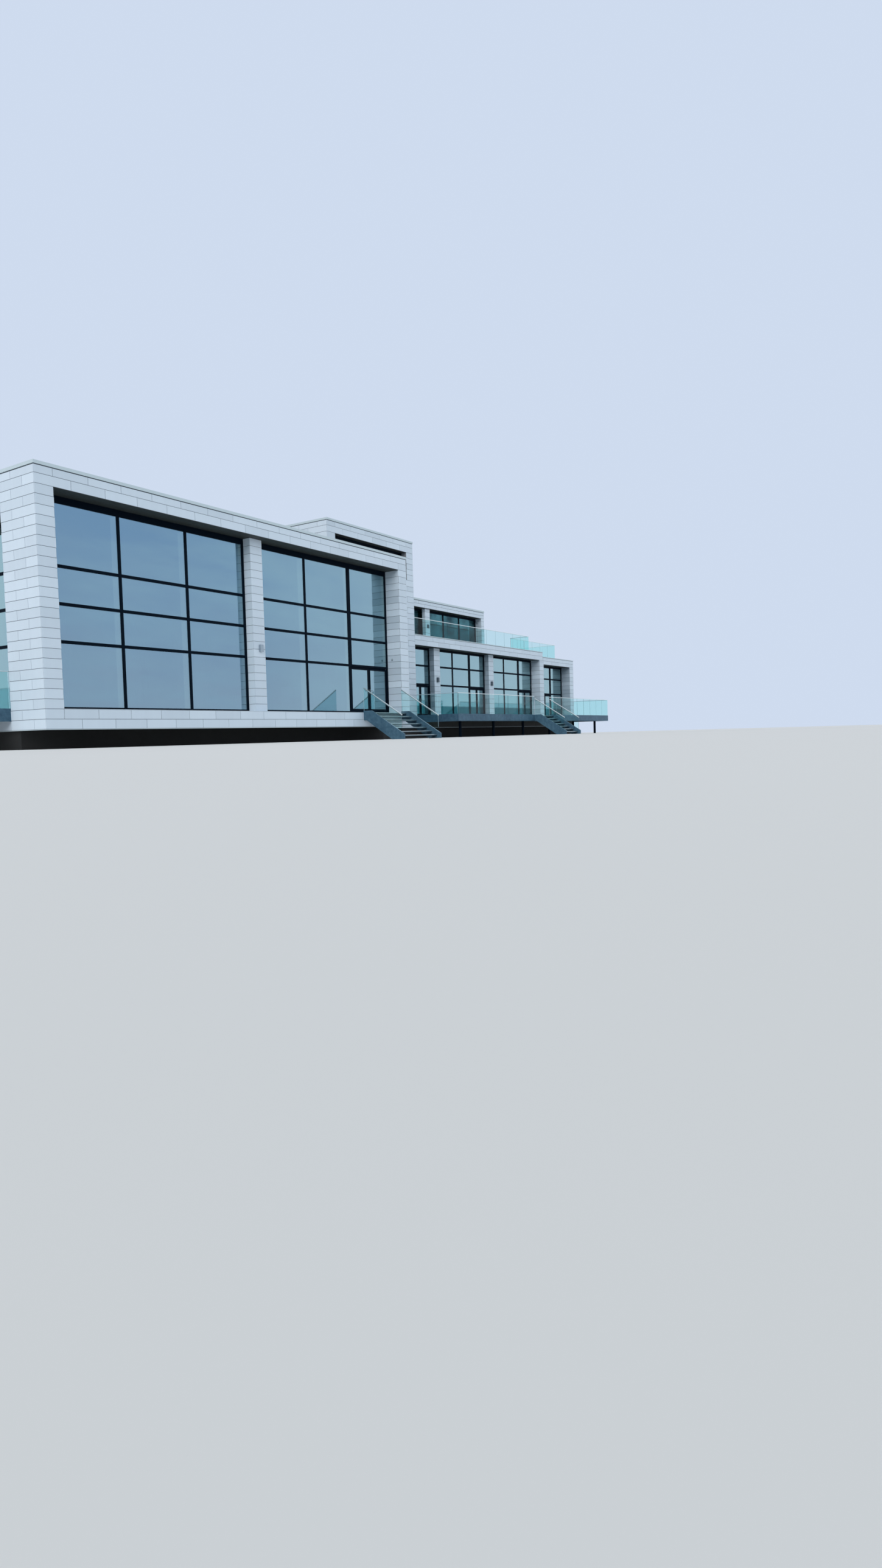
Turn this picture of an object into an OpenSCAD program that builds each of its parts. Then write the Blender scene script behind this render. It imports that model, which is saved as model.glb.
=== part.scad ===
// Beach house with a tall glazed hall, a tower behind its right end and a
// two-storey wing, at half of real size.  X runs along the sea front, Y runs
// into the house and Z is up.  All lengths are millimetres of the model.

/* [Cladding and frames] */
// Height of one course of wall panels
course_h = 150; // [140:1:160]
// Clear height of the dark gap under the house
undercroft_h = 300; // [240:5:360]
// Thickness of an outer wall
wall_t = 200; // [150:5:240]
// Height of the light metal coping
coping_h = 50; // [30:1:70]
// Overhang of the coping beyond the wall
coping_out = 15; // [5:1:25]
// Face width of a window bar
bar = 50; // [40:1:60]
// Thickness of the cap that holds the glass from outside
cap_t = 12; // [8:1:16]
// Depth of a whole window bar from cap to inner edge
bar_d = 95; // [80:1:100]
// Height of a low flashing on parapet, deck edge and end bay
flashing_h = 20; // [12:1:30]
// Thickness of the window glass
pane_t = 16; // [10:1:24]

/* [Main hall] */
// Length of the hall along the front
hall_l = 9300; // [9100:10:9600]
// Depth of the house from the hall's front to the back wall
house_d = 6000; // [5600:10:6600]
// Face width of a pier in the front frame
pier_w = 300; // [240:5:340]
// Depth of the front frame
frame_d = 525; // [470:5:600]
// Depth from the front of the frame to the glazing
hall_recess = 375; // [340:5:400]
// Depth from the front of the frame to the middle pillar
pillar_back = 200; // [100:5:260]
// Length of the corner pier along the hall's side
side_pier_l = 900; // [760:10:1100]
// Height of the white band over the side window
side_band_h = 600; // [480:10:700]
// Height of the door rail centre over the floor
door_rail_h = 1060; // [1000:5:1120]
// Height of the middle transom over the door rail
transom_1 = 585; // [500:5:640]
// Height of the upper transom over the middle transom
transom_2 = 580; // [500:5:640]
// Height of the dark head over the hall's glass
hall_head_h = 115; // [80:1:150]

/* [Tower] */
// Length of the tower along the front
tower_l = 3600; // [3300:10:3900]
// Distance of the tower and wing front behind the hall's front
back_line = 2100; // [1800:10:2300]
// Courses of panels from the frame's underside to the tower's top
tower_courses = 34; // [33:1:36]
// Height of the band of glass near the tower's top
slot_h = 750; // [600:10:800]

/* [Wing] */
// Length of the wing's long front up to its last pier
wing_l = 7900; // [7600:10:8200]
// Clear length of the wing's first bay
first_bay_l = 1200; // [1100:10:1400]
// Clear length of the low end bay
end_bay_l = 2150; // [1900:10:2400]
// Underside of the upper floor over the house's underside
wing_soffit = 2315; // [2200:5:2400]
// Height of the white band at the upper floor
deck_band_h = 290; // [260:5:340]
// Thickness of the upper floor
deck_t = 235; // [180:5:250]
// Underside of the end bay's head over the house's underside
end_soffit = 2180; // [2100:5:2250]
// Height of the end bay's head
end_head_h = 260; // [220:5:300]
// Depth from the wing's front to its glazing
wing_recess = 335; // [300:5:360]
// Depth from the wing's front to its pillars
wing_pillar_back = 175; // [100:5:230]
// Depth of the wing's frame
wing_frame_d = 450; // [420:5:520]
// Width of a bay column of the wing's windows
wing_col = 950; // [900:5:980]
// Width of a window column in the low end bay
end_col = 935; // [880:5:960]
// Height of the wing's door rail centre over the floor
wing_rail_h = 950; // [900:5:980]
// Height of the wing's transom over its door rail
wing_transom = 540; // [480:5:580]
// Height of the end bay's door rail centre over the floor
end_rail_h = 870; // [840:5:900]
// Length of the upper storey along the wing
upper_l = 3900; // [3600:10:4200]
// Clear height of the upper storey's window over the white band
upper_open_h = 790; // [700:5:850]
// Height of the white band over the upper window
upper_band_h = 185; // [150:5:230]
// Depth from the wing's front to the upper storey's front
upper_back = 50; // [40:5:70]
// Depth from the wing's front to the upper glazing
upper_recess = 260; // [245:5:280]
// Clear length from the tower to the upper storey's slim pillar
upper_pillar_gap = 690; // [640:5:720]
// Width of the upper storey's slim pillar
upper_pillar_w = 230; // [200:5:260]
// Width of the upper storey's right pier
upper_pier_w = 160; // [140:5:200]
// Width of a window column in the upper storey
upper_col = 880; // [840:5:900]

/* [Doors] */
// Thickness of a door leaf
leaf_t = 30; // [24:1:36]
// Running gap round a door leaf
leaf_gap = 6; // [5:0.5:8]
// Face width of a door leaf's stile
stile_w = 45; // [35:1:60]
// Height of a lever handle over the foot of its leaf
lever_h = 510; // [480:5:550]
// Length of a lever handle
lever_l = 65; // [50:1:80]
// Thickness of a lever handle
lever_d = 10; // [8:1:13]
// Distance of a lever handle from its plate
lever_out = 25; // [20:1:30]
// Height of a handle's plate
plate_l = 110; // [80:1:140]
// Width of a handle's plate
plate_w = 24; // [16:1:30]
// Thickness of a handle's plate
plate_t = 4; // [3:0.5:6]

/* [Terraces and stairs] */
// Distance of the wing terrace's edge in front of the wing
terrace_d = 1375; // [1200:5:1450]
// Width of the side terrace beside the hall
side_terrace_w = 1375; // [1100:5:1500]
// Height of the terrace's edge plate
edge_h = 200; // [160:5:220]
// Thickness of the edge plate
edge_t = 25; // [20:1:40]
// Height of the edge plate's top over the floor
edge_up = 40; // [20:1:60]
// Height of a handrail over the edge plate
rail_h = 560; // [500:5:600]
// Diameter of a handrail
rail_d = 26; // [20:1:34]
// Thickness of the balustrade glass
guard_t = 12; // [8:1:18]
// Length of one sheet of balustrade glass
guard_l = 550; // [450:10:900]
// Number of treads in a flight
treads = 7; // [6:1:8]
// Going of one tread
going = 140; // [130:1:150]
// Thickness of a tread
tread_t = 25; // [18:1:32]
// Thickness of a stair stringer
stringer_t = 40; // [30:1:50]
// Depth of a stringer, measured upright
stringer_h = 260; // [220:5:280]
// Width of the hall's stair
hall_stair_w = 1450; // [1300:10:1500]
// Width of the wing's stair
wing_stair_w = 1075; // [950:5:1200]
// Distance of the wing stair from the terrace's left end
wing_stair_x = 4475; // [4300:5:4700]
// Distance of a terrace post behind the terrace's edge
post_in = 300; // [200:5:400]
// Spacing of the wing terrace's posts
post_gap = 1850; // [1500:10:1900]

/* [Lamps] */
// Height of the hall's lamp over the floor
hall_lamp_h = 1220; // [1000:10:1400]
// Height of the wing's lamps over the floor
wing_lamp_h = 1090; // [900:10:1200]
// Width of a wall lamp
lamp_w = 85; // [60:1:100]
// Height of a wall lamp
lamp_h = 145; // [100:1:170]
// Reach of a wall lamp from its wall
lamp_d = 55; // [40:1:70]
// Height of the round sensor over the floor
sensor_h = 1250; // [1000:10:1400]

/* [Hidden] */
$fn = 32;
eps = 1;

beam_h = 2 * course_h;
under = undercroft_h;
floor_z = under + beam_h;
top_trim = 20;
seat = 0.3;

// Main hall
hall_soffit = under + 24 * course_h;
hall_top = under + 26 * course_h - top_trim;
side_soffit = hall_soffit + beam_h - side_band_h;
back_y = house_d - wall_t;
side_end = house_d - side_pier_l;
pillar_x = (hall_l - pier_w) / 2;
bay_l = pillar_x - pier_w;
hall_col = bay_l / 3;
rail_z = floor_z + door_rail_h;
hall_rows = [rail_z, rail_z + transom_1, rail_z + transom_1 + transom_2];

// Tower
tower_x = hall_l - pier_w;
tower_end = tower_x + tower_l;
tower_top = under + tower_courses * course_h - top_trim;
slot_top = under + (tower_courses - 2) * course_h;
slot_z = slot_top - slot_h;
slot_recess = 150;
roof_t = 150;

// Wing
wing_x = tower_end;
wing_end = wing_x + wing_l;
wing_pier_x = wing_end - pier_w;
end_x = wing_end + end_bay_l + pier_w;
soffit_z = under + wing_soffit;
band_top = soffit_z + deck_band_h;
deck_z = soffit_z + deck_t;
end_soffit_z = under + end_soffit;
end_top = end_soffit_z + end_head_h;
step_x = wing_end - 65;
pillar_1_x = wing_x + first_bay_l;
pillar_2_x = pillar_1_x + pier_w + 3 * wing_col;
far_col = (wing_pier_x - pillar_2_x - pier_w) / 3;
upper_end = wing_x + upper_l;
upper_pillar_x = wing_x + upper_pillar_gap;
upper_pier_x = upper_end - upper_pier_w;
upper_bars = wing_x + 1000 + 2 * upper_col;
upper_soffit = band_top + upper_open_h;
upper_top = upper_soffit + upper_band_h;
parapet_t = 200;
deck_front = back_line + 700;
wing_g = back_line + wing_recess;
wing_rows = [floor_z + wing_rail_h, floor_z + wing_rail_h + wing_transom];
end_rows = [floor_z + end_rail_h, floor_z + end_rail_h + wing_transom];
wing_head_h = 70;
flashing_w = 120;

// Doors: [left post, right post, front of the window bars, underside of the rail]
hall_door = [pillar_x + pier_w + 2 * hall_col + bar / 2, tower_x - bar, hall_recess, rail_z - bar / 2];
wing_head = wing_rows[0] - bar / 2;
first_door = [pillar_1_x - wing_col + bar / 2, pillar_1_x - bar, wing_g, wing_head];
middle_door = [pillar_2_x - wing_col + bar / 2, pillar_2_x - bar, wing_g, wing_head];
far_door = [wing_pier_x - far_col + bar / 2, wing_pier_x - bar, wing_g, wing_head];
end_right = wing_end + end_bay_l - end_col;
end_door = [end_right - end_col + bar / 2, end_right - bar / 2, wing_g, end_rows[0] - bar / 2];
DOORS = [hall_door, first_door, middle_door, far_door, end_door];

// Terraces and stairs
edge_top = floor_z + edge_up;
edge_z = edge_top - edge_h;
deck_slab_t = 100;
terrace_y = back_line - terrace_d;
stair_2_x = wing_x + wing_stair_x;
stair_1_x = tower_x - hall_stair_w;
rise = floor_z / treads;
slope = rise / going;
landing_l = 220;
flight_l = treads * going + 100;
guard_top = edge_top + rail_h;

// Centre of the whole house, so that the origin lies under its middle
mid_x = (end_x + coping_out - side_terrace_w) / 2;
mid_y = (house_d + coping_out - flight_l) / 2;

white = "#dfe6ec";
dark = "#141b25";
slate = "#3f5263";
glass = "#6f93a8";
teal = "#8fd3d6";
steel = "#c9d4d8";
concrete = "#8b8a82";

// A block between two opposite corners
module block(a, b) {
    translate(a) cube([for (i = [0:2]) b[i] - a[i]]);
}

// A grid of bars in the XZ plane, from front y0 to back y1.  xs and zs give its
// outer edges and the centres of the bars between, top is the height of its head.
module grid(xs, zs, top, y0, y1) {
    nx = len(xs) - 1;
    nz = len(zs) - 1;
    difference() {
        block([xs[0], y0, zs[0]], [xs[nx], y1, zs[nz]]);
        for (i = [0:nx - 1], j = [0:nz - 1])
            block([xs[i] + (i == 0 ? bar : bar / 2), y0 - eps, zs[j] + (j == 0 ? bar : bar / 2)],
                  [xs[i + 1] - (i == nx - 1 ? bar : bar / 2), y1 + eps,
                   zs[j + 1] - (j == nz - 1 ? top : bar / 2)]);
    }
}

// A window frame: flat caps outside, deep bars inside, the glass held between
module window(xs, zs, top = bar) {
    grid(xs, zs, top, 0, cap_t);
    grid(xs, zs, top, cap_t + pane_t, bar_d);
}

// A sheet of glass between the caps and the bars of a window
module sheet(x0, x1, z0, z1) {
    inset = bar / 10;
    block([x0 + inset, cap_t, z0 + inset], [x1 - inset, cap_t + pane_t, z1 - inset]);
}

// The windows of the hall's side lie in the YZ plane
module on_side() {
    translate([hall_recess, 0, 0]) mirror([1, -1, 0]) children();
}

// The windows of the back walls face the other way
module on_back() {
    translate([0, house_d - bar, 0]) mirror([0, 1, 0]) children();
}

// Foundation and floors

module foundation_ring(x0, y0, x1, y1) {
    difference() {
        block([x0, y0, 0], [x1, y1, under]);
        block([x0 + wall_t, y0 + wall_t, -eps], [x1 - wall_t, y1 - wall_t, under + eps]);
    }
}

module foundation() color(concrete) {
    foundation_ring(bar, hall_recess * 2, hall_l - bar, house_d - bar);
    foundation_ring(hall_l + bar, back_line + bar, end_x - bar, house_d - bar);
}

module floor_slabs() color(concrete) {
    block([frame_d, frame_d, under], [hall_l - wall_t, back_y, floor_z]);
    block([hall_l - wall_t - eps, back_line, under], [hall_l, back_y, floor_z]);
    block([hall_l - eps, back_line + wing_frame_d, under], [end_x - wall_t, back_y, floor_z]);
    block([tower_x + wall_t, back_line + wall_t, slot_z - roof_t], [tower_end - wall_t, back_y, slot_z]);
}

module base_beams() color(white) {
    block([0, 0, under], [hall_l, frame_d, floor_z]);
    block([hall_l, back_line, under], [end_x, back_line + wing_frame_d, floor_z]);
}

module hall_side_beam() color(white)
    block([0, frame_d, under], [frame_d, house_d, floor_z]);

// Hall

module hall_piers() color(white) {
    for (x = [0, tower_x]) block([x, 0, floor_z], [x + pier_w, frame_d, hall_soffit]);
    block([pillar_x, pillar_back, floor_z], [pillar_x + pier_w, frame_d, hall_soffit]);
}

module hall_side_piers() color(white)
    for (y = [[frame_d, side_pier_l], [side_end, house_d]])
        block([0, y[0], floor_z], [frame_d, y[1], hall_soffit]);

module hall_header() color(white)
    block([0, 0, hall_soffit], [hall_l, frame_d, hall_top]);

module hall_side_header() color(white) {
    block([0, frame_d, hall_soffit], [frame_d, house_d, hall_top]);
    block([0, side_pier_l, side_soffit], [frame_d, side_end, hall_soffit + eps]);
}

module hall_right_wall() color(white)
    block([hall_l - wall_t, frame_d, under], [hall_l, back_line, hall_top]);

// A back wall from z0 to z1 with its row of windows
module back_wall(r, z0, z1) {
    difference() {
        block([r[0], back_y, z0], [r[1], house_d, z1]);
        for (z = r[2], i = [0:r[5] - 1])
            translate([back_window_x(r, i), 0, z]) block([0, back_y - eps, 0], [r[3], house_d + eps, r[4]]);
    }
}

// Rows of back windows: [start, end, sills, width, height, count]
hall_back = [frame_d, tower_x, [floor_z + 300], 1200, 2400, 4];
tower_back = [tower_x, tower_end, [floor_z + 300, slot_z], 1200, slot_h, 2];
wing_back_low = [wing_x, end_x, [floor_z + 300], 1200, 1300, 5];
wing_back_high = [wing_x, upper_end, [deck_z + 150], 1200, 600, 2];
BACK_ROWS = [hall_back, tower_back, wing_back_low, wing_back_high];
function back_window_x(r, i) = r[0] + (r[1] - r[0]) / r[5] * (i + 0.5) - r[3] / 2;

module hall_back_wall() color(white) back_wall(hall_back, under, hall_top);

module roof_slabs() color(concrete) {
    block([frame_d, frame_d, hall_soffit], [hall_l - wall_t, back_line, hall_soffit + roof_t]);
    block([frame_d, back_line - eps, hall_soffit], [tower_x, back_y, hall_soffit + roof_t]);
    block([tower_x + wall_t, back_line + wall_t, slot_top], [tower_end - wall_t, back_y, slot_top + roof_t]);
    block([wing_x, back_line + wing_frame_d, upper_soffit],
          [upper_end - wall_t, back_y, upper_soffit + roof_t]);
}

// Tower

module tower_front_wall() color(white)
    difference() {
        union() {
            block([hall_l, back_line, floor_z], [tower_end, back_line + wall_t, tower_top]);
            block([tower_x, back_line, hall_soffit], [hall_l + eps, back_line + wall_t, tower_top]);
        }
        block([hall_l, back_line - eps, slot_z], [tower_end - pier_w, back_y, slot_top]);
    }

module tower_side_walls() color(white) {
    block([tower_x, back_line + wall_t, hall_soffit], [tower_x + wall_t, back_y, tower_top]);
    block([tower_end - wall_t, back_line + wall_t, upper_soffit], [tower_end, back_y, tower_top]);
    block([tower_end - wall_t, back_line + wall_t, floor_z],
          [tower_end, back_line + wing_frame_d, upper_soffit + eps]);
}

module tower_back_wall() color(white) back_wall(tower_back, under, tower_top);

// Wing

module wing_pillars() color(white) {
    for (x = [pillar_1_x, pillar_2_x])
        block([x, back_line + wing_pillar_back, floor_z], [x + pier_w, back_line + wing_frame_d, soffit_z]);
    block([wing_pier_x, back_line, floor_z], [wing_end, back_line + wing_frame_d, soffit_z]);
    block([end_x - pier_w, back_line, floor_z], [end_x, back_line + wing_frame_d, end_soffit_z]);
}

module wing_parapet() color(white)
    block([wing_x, back_line, soffit_z], [step_x, back_line + parapet_t, band_top - flashing_h]);

module wing_deck() color(concrete) {
    block([wing_x, back_line + parapet_t, soffit_z], [step_x, back_y, deck_z]);
    block([step_x - eps, back_line + wing_frame_d, soffit_z], [end_x - wall_t, back_y, end_top]);
    block([step_x - eps, deck_front, end_top], [end_x, back_y, deck_z]);
}

module end_bay_head() color(white) {
    block([wing_end, back_line, end_soffit_z], [end_x, back_line + wing_frame_d, end_top - flashing_h]);
    block([step_x, back_line, soffit_z], [wing_end + eps, back_line + wing_frame_d, end_top - flashing_h]);
}

module end_bay_wall() color(white)
    difference() {
        block([end_x - wall_t, back_line + wing_frame_d, under], [end_x, back_y, end_top]);
        block([end_x - wall_t - eps, back_line + wing_frame_d - eps, end_top - flashing_h],
              [end_x + eps, deck_front, end_top + eps]);
    }

module wing_back_wall() color(white) back_wall(wing_back_low, under, deck_z);

module upper_storey_walls() color(white) {
    front = back_line + upper_back;
    back_of_band = back_line + parapet_t;
    block([wing_x, front, upper_soffit], [upper_end, back_line + wing_frame_d, upper_top]);
    block([upper_pier_x, front, band_top], [upper_end, back_of_band, upper_soffit + eps]);
    block([upper_pier_x, back_of_band, deck_z], [upper_end, back_line + wing_frame_d, upper_soffit + eps]);
    block([upper_end - wall_t, back_line + wing_frame_d - eps, deck_z], [upper_end, back_y + eps, upper_top]);
    block([upper_pillar_x, front + bar, band_top],
          [upper_pillar_x + upper_pillar_w, back_of_band, upper_soffit + eps]);
    back_wall(wing_back_high, deck_z, upper_top);
}

// Copings

module coping(x0, y0, x1, y1, z) {
    difference() {
        block([x0 - coping_out, y0 - coping_out, z], [x1 + coping_out, y1 + coping_out, z + coping_h]);
        block([x0 + wall_t, y0 + wall_t, z - eps], [x1 - wall_t, y1 - wall_t, z + coping_h + eps]);
    }
}

module copings() color("#aebbb4") {
    difference() {
        coping(0, 0, hall_l, house_d, hall_top);
        block([tower_x, back_line, 0], [end_x, house_d + 2 * coping_out, tower_top]);
    }
    coping(tower_x, back_line, tower_end, house_d, tower_top);
    difference() {
        coping(tower_end - wall_t, back_line + upper_back, upper_end, house_d, upper_top);
        block([0, 0, 0], [tower_end, house_d + 2 * coping_out, tower_top]);
    }
    flashings();
}

// Low flashings: along the parapet, over the end bay and round the deck's edge
module flashings() {
    out = end_x + coping_out;
    edge_y = deck_front + flashing_w;
    block([wing_x, back_line - coping_out, band_top - flashing_h],
          [step_x + coping_out, back_line + parapet_t, band_top]);
    block([step_x, back_line - coping_out, end_top - flashing_h], [out, back_line + wing_frame_d, end_top]);
    block([end_x - wall_t, back_line + wing_frame_d - eps, end_top - flashing_h], [out, deck_front, end_top]);
    block([step_x, deck_front - coping_out, deck_z], [out, edge_y, deck_z + flashing_h]);
    block([end_x - flashing_w, edge_y - eps, deck_z], [out, house_d + coping_out, deck_z + flashing_h]);
    block([upper_end, house_d - flashing_w, deck_z], [end_x, house_d + coping_out, deck_z + flashing_h]);
}

// Windows

module window_frames() color(dark) {
    translate([0, hall_recess, 0]) {
        window([pier_w, pier_w + hall_col, pier_w + 2 * hall_col, pillar_x],
               concat([floor_z], hall_rows, [hall_soffit]), hall_head_h);
        window([pillar_x + pier_w, pillar_x + pier_w + hall_col, hall_door[0]],
               concat([floor_z], hall_rows, [hall_soffit]), hall_head_h);
    }
    on_side()
        window([side_pier_l, side_pier_l + 1050, side_pier_l + 2100, side_pier_l + 3150, side_end],
               concat([floor_z], hall_rows, [side_soffit]), bar);
    translate([0, wing_g, 0]) {
        window([wing_x, first_door[0]], concat([floor_z], wing_rows, [soffit_z]), wing_head_h);
        window([pillar_1_x + pier_w, pillar_1_x + pier_w + wing_col, middle_door[0]],
               concat([floor_z], wing_rows, [soffit_z]), wing_head_h);
        window([pillar_2_x + pier_w, pillar_2_x + pier_w + far_col, far_door[0]],
               concat([floor_z], wing_rows, [soffit_z]), wing_head_h);
        window([wing_end, end_door[0]], concat([floor_z], end_rows, [end_soffit_z]), wing_head_h);
        window([end_door[1], end_x - pier_w], concat([floor_z], end_rows, [end_soffit_z]), wing_head_h);
    }
    translate([0, back_line + upper_recess, 0])
        window([wing_x, upper_bars - 2 * upper_col, upper_bars - upper_col, upper_bars, upper_pier_x],
               [deck_z, upper_soffit], wing_head_h);
    on_back() for (r = BACK_ROWS, z = r[2], i = [0:r[5] - 1])
        translate([back_window_x(r, i), 0, z]) window([0, r[3] / 2, r[3]], [0, r[4]]);
    translate([0, back_line + slot_recess, 0])
        window([hall_l, hall_l + 750, hall_l + 1500, hall_l + 2250, tower_end - pier_w],
               [slot_z, slot_top], bar);
}

module fanlights() color(dark) {
    translate([0, hall_recess, 0])
        window([hall_door[0], tower_x - seat], [hall_door[3], hall_rows[1], hall_rows[2], hall_soffit],
               hall_head_h);
    translate([0, wing_g, 0]) {
        window([first_door[0], pillar_1_x - seat], [first_door[3], wing_rows[1], soffit_z], wing_head_h);
        window([middle_door[0], pillar_2_x - seat], [middle_door[3], wing_rows[1], soffit_z], wing_head_h);
        window([far_door[0], wing_pier_x - seat], [far_door[3], wing_rows[1], soffit_z], wing_head_h);
        window([end_door[0], end_door[1]], [end_door[3], end_rows[1], end_soffit_z], wing_head_h);
    }
}

module door_posts() color(dark)
    for (d = [hall_door, first_door, middle_door, far_door])
        block([d[1], d[2], floor_z], [d[1] + bar - seat, d[2] + bar_d, d[3]]);

module window_glass() color(glass) {
    translate([0, hall_recess, 0]) {
        sheet(pier_w, pillar_x, floor_z, hall_soffit);
        sheet(pillar_x + pier_w, hall_door[0], floor_z, hall_soffit);
        sheet(hall_door[0], tower_x, hall_door[3], hall_soffit);
    }
    on_side() sheet(side_pier_l, side_end, floor_z, side_soffit);
    translate([0, wing_g, 0]) {
        sheet(wing_x, first_door[0], floor_z, soffit_z);
        sheet(first_door[0], pillar_1_x, first_door[3], soffit_z);
        sheet(pillar_1_x + pier_w, middle_door[0], floor_z, soffit_z);
        sheet(middle_door[0], pillar_2_x, middle_door[3], soffit_z);
        sheet(pillar_2_x + pier_w, far_door[0], floor_z, soffit_z);
        sheet(far_door[0], wing_pier_x, far_door[3], soffit_z);
        sheet(wing_end, end_door[0], floor_z, end_soffit_z);
        sheet(end_door[0], end_door[1], end_door[3], end_soffit_z);
        sheet(end_door[1], end_x - pier_w, floor_z, end_soffit_z);
    }
    translate([0, back_line + upper_recess, 0]) sheet(wing_x, upper_pier_x, deck_z, upper_soffit);
    translate([0, back_line + slot_recess, 0]) sheet(hall_l, tower_end - pier_w, slot_z, slot_top);
    on_back() for (r = BACK_ROWS, z = r[2], i = [0:r[5] - 1])
        translate([back_window_x(r, i), 0, z]) sheet(0, r[3], 0, r[4]);
}

// Doors

// A lever handle on its plate, which lies on a leaf's face at y = 0 and faces -Y
module lever($fn = 12) {
    block([-plate_w / 2, -plate_t, -0.7 * plate_l], [plate_w / 2, eps, 0.3 * plate_l]);
    rotate([90, 0, 0]) cylinder(d = lever_d, h = plate_t + lever_out + lever_d / 2);
    translate([0, -plate_t - lever_out, 0]) rotate([0, -90, 0]) {
        cylinder(d = lever_d, h = lever_l);
        translate([0, 0, lever_l]) cylinder(d1 = lever_d, d2 = 0.6 * lever_d, h = 0.2 * lever_d);
    }
}

// A door leaf that turns about its rounded heel at the origin, toward +Y
module leaf(d) {
    w = (d[1] - d[0] - 3 * leaf_gap) / 2 - leaf_t / 2;
    h = d[3] - floor_z - 2 * leaf_gap;
    translate([0, 0, floor_z + leaf_gap]) {
        cylinder(d = leaf_t, h = h);
        difference() {
            block([0, -leaf_t / 2, 0], [w, leaf_t / 2, h]);
            for (y = [pane_t / 2, -leaf_t])
                block([stile_w - leaf_t / 2, y, 2 * stile_w],
                      [w - stile_w, y + leaf_t - pane_t / 2, h - stile_w]);
        }
        for (inner = [0, 1])
            mirror([0, inner, 0]) translate([w - stile_w / 2, -leaf_t / 2, lever_h]) lever();
    }
}

function heel_y(d) = d[2] + cap_t + leaf_t / 2;
function left_heel(d) = [d[0] + leaf_gap + leaf_t / 2, heel_y(d), 0];
function right_heel(d) = [d[1] - leaf_gap - leaf_t / 2, heel_y(d), 0];

module left_leaf(d) color(dark) translate(left_heel(d)) leaf(d);
module right_leaf(d) color(dark) translate(right_heel(d)) mirror([1, 0, 0]) leaf(d);

module hall_door_left() left_leaf(hall_door);
module hall_door_right() right_leaf(hall_door);
module first_door_left() left_leaf(first_door);
module first_door_right() right_leaf(first_door);
module middle_door_left() left_leaf(middle_door);
module middle_door_right() right_leaf(middle_door);
module far_door_left() left_leaf(far_door);
module far_door_right() right_leaf(far_door);
module end_door_left() left_leaf(end_door);
module end_door_right() right_leaf(end_door);

// The short pivots that each leaf stands on and turns under
module door_pivots() color(steel)
    for (d = DOORS, heel = [left_heel(d), right_heel(d)], z = [floor_z, d[3] - leaf_gap + 0.3])
        translate([heel[0], heel[1], z]) cylinder(d = leaf_t / 2, h = leaf_gap - 0.3, $fn = 16);

// Terraces

module terrace_decks() color("#6d7478") {
    block([wing_x + edge_t, terrace_y + edge_t, floor_z - deck_slab_t], [end_x - edge_t, back_line, floor_z]);
    block([edge_t - side_terrace_w, side_pier_l + edge_t, floor_z - deck_slab_t],
          [0, side_end - edge_t, floor_z]);
}

module terrace_edges() color(slate) {
    difference() {
        block([wing_x, terrace_y, edge_z], [end_x, back_line, edge_top]);
        block([wing_x + edge_t, terrace_y + edge_t, edge_z - eps],
              [end_x - edge_t, back_line + eps, edge_top + eps]);
        block([stair_2_x, terrace_y - eps, floor_z],
              [stair_2_x + wing_stair_w, terrace_y + edge_t + eps, edge_top + eps]);
    }
    difference() {
        block([-side_terrace_w, side_pier_l, edge_z], [0, side_end, edge_top]);
        block([edge_t - side_terrace_w, side_pier_l + edge_t, edge_z - eps],
              [eps, side_end - edge_t, edge_top + eps]);
    }
}

module terrace_post(x, y) translate([x, y, 0]) cylinder(d = 80, h = floor_z - deck_slab_t);

module terrace_posts() color(dark) {
    n = floor((end_x - wing_x - 2 * post_in) / post_gap);
    for (i = [0:n])
        terrace_post((wing_x + end_x + (2 * i - n) * post_gap) / 2, terrace_y + post_in);
    for (y = [side_pier_l + post_in, (side_pier_l + side_end) / 2, side_end - post_in])
        terrace_post(post_in - side_terrace_w, y);
}

// A straight run of glass sheets on the edge plate, along +X from the origin
module guard(length, height) {
    n = max(1, round(length / guard_l));
    for (i = [0:n - 1])
        block([i * length / n + 3, 0, 0], [(i + 1) * length / n - 3, guard_t, height]);
}

// The same, from point a to point b at height z
module guard_run(a, b, z, height) {
    turn = atan2(b[1] - a[1], b[0] - a[0]);
    translate([a[0], a[1], z]) rotate([0, 0, turn])
        translate([0, -guard_t / 2, 0]) guard(norm([b[0] - a[0], b[1] - a[1]]), height);
}

guard_in = edge_t / 2;
cap_w = 20;
cap_h = 14;
low_runs = [
    [[wing_x + guard_in, back_line - cap_w / 2], [wing_x + guard_in, terrace_y + guard_in]],
    [[wing_x + guard_in, terrace_y + guard_in], [stair_2_x, terrace_y + guard_in]],
    [[stair_2_x + wing_stair_w, terrace_y + guard_in], [end_x - guard_in, terrace_y + guard_in]],
    [[end_x - guard_in, terrace_y + guard_in], [end_x - guard_in, back_line - cap_w / 2]],
    [[-cap_w / 2, side_pier_l + guard_in], [guard_in - side_terrace_w, side_pier_l + guard_in]],
    [[guard_in - side_terrace_w, side_pier_l + guard_in], [guard_in - side_terrace_w, side_end - guard_in]],
    [[guard_in - side_terrace_w, side_end - guard_in], [-cap_w / 2, side_end - guard_in]]];
corner_x = wing_x + 6850;
front_guard_y = back_line + upper_back / 2;
inner_guard_y = deck_front + 30;
end_guard_x = end_x - 30;
high_foot = deck_z + flashing_h;
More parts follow.
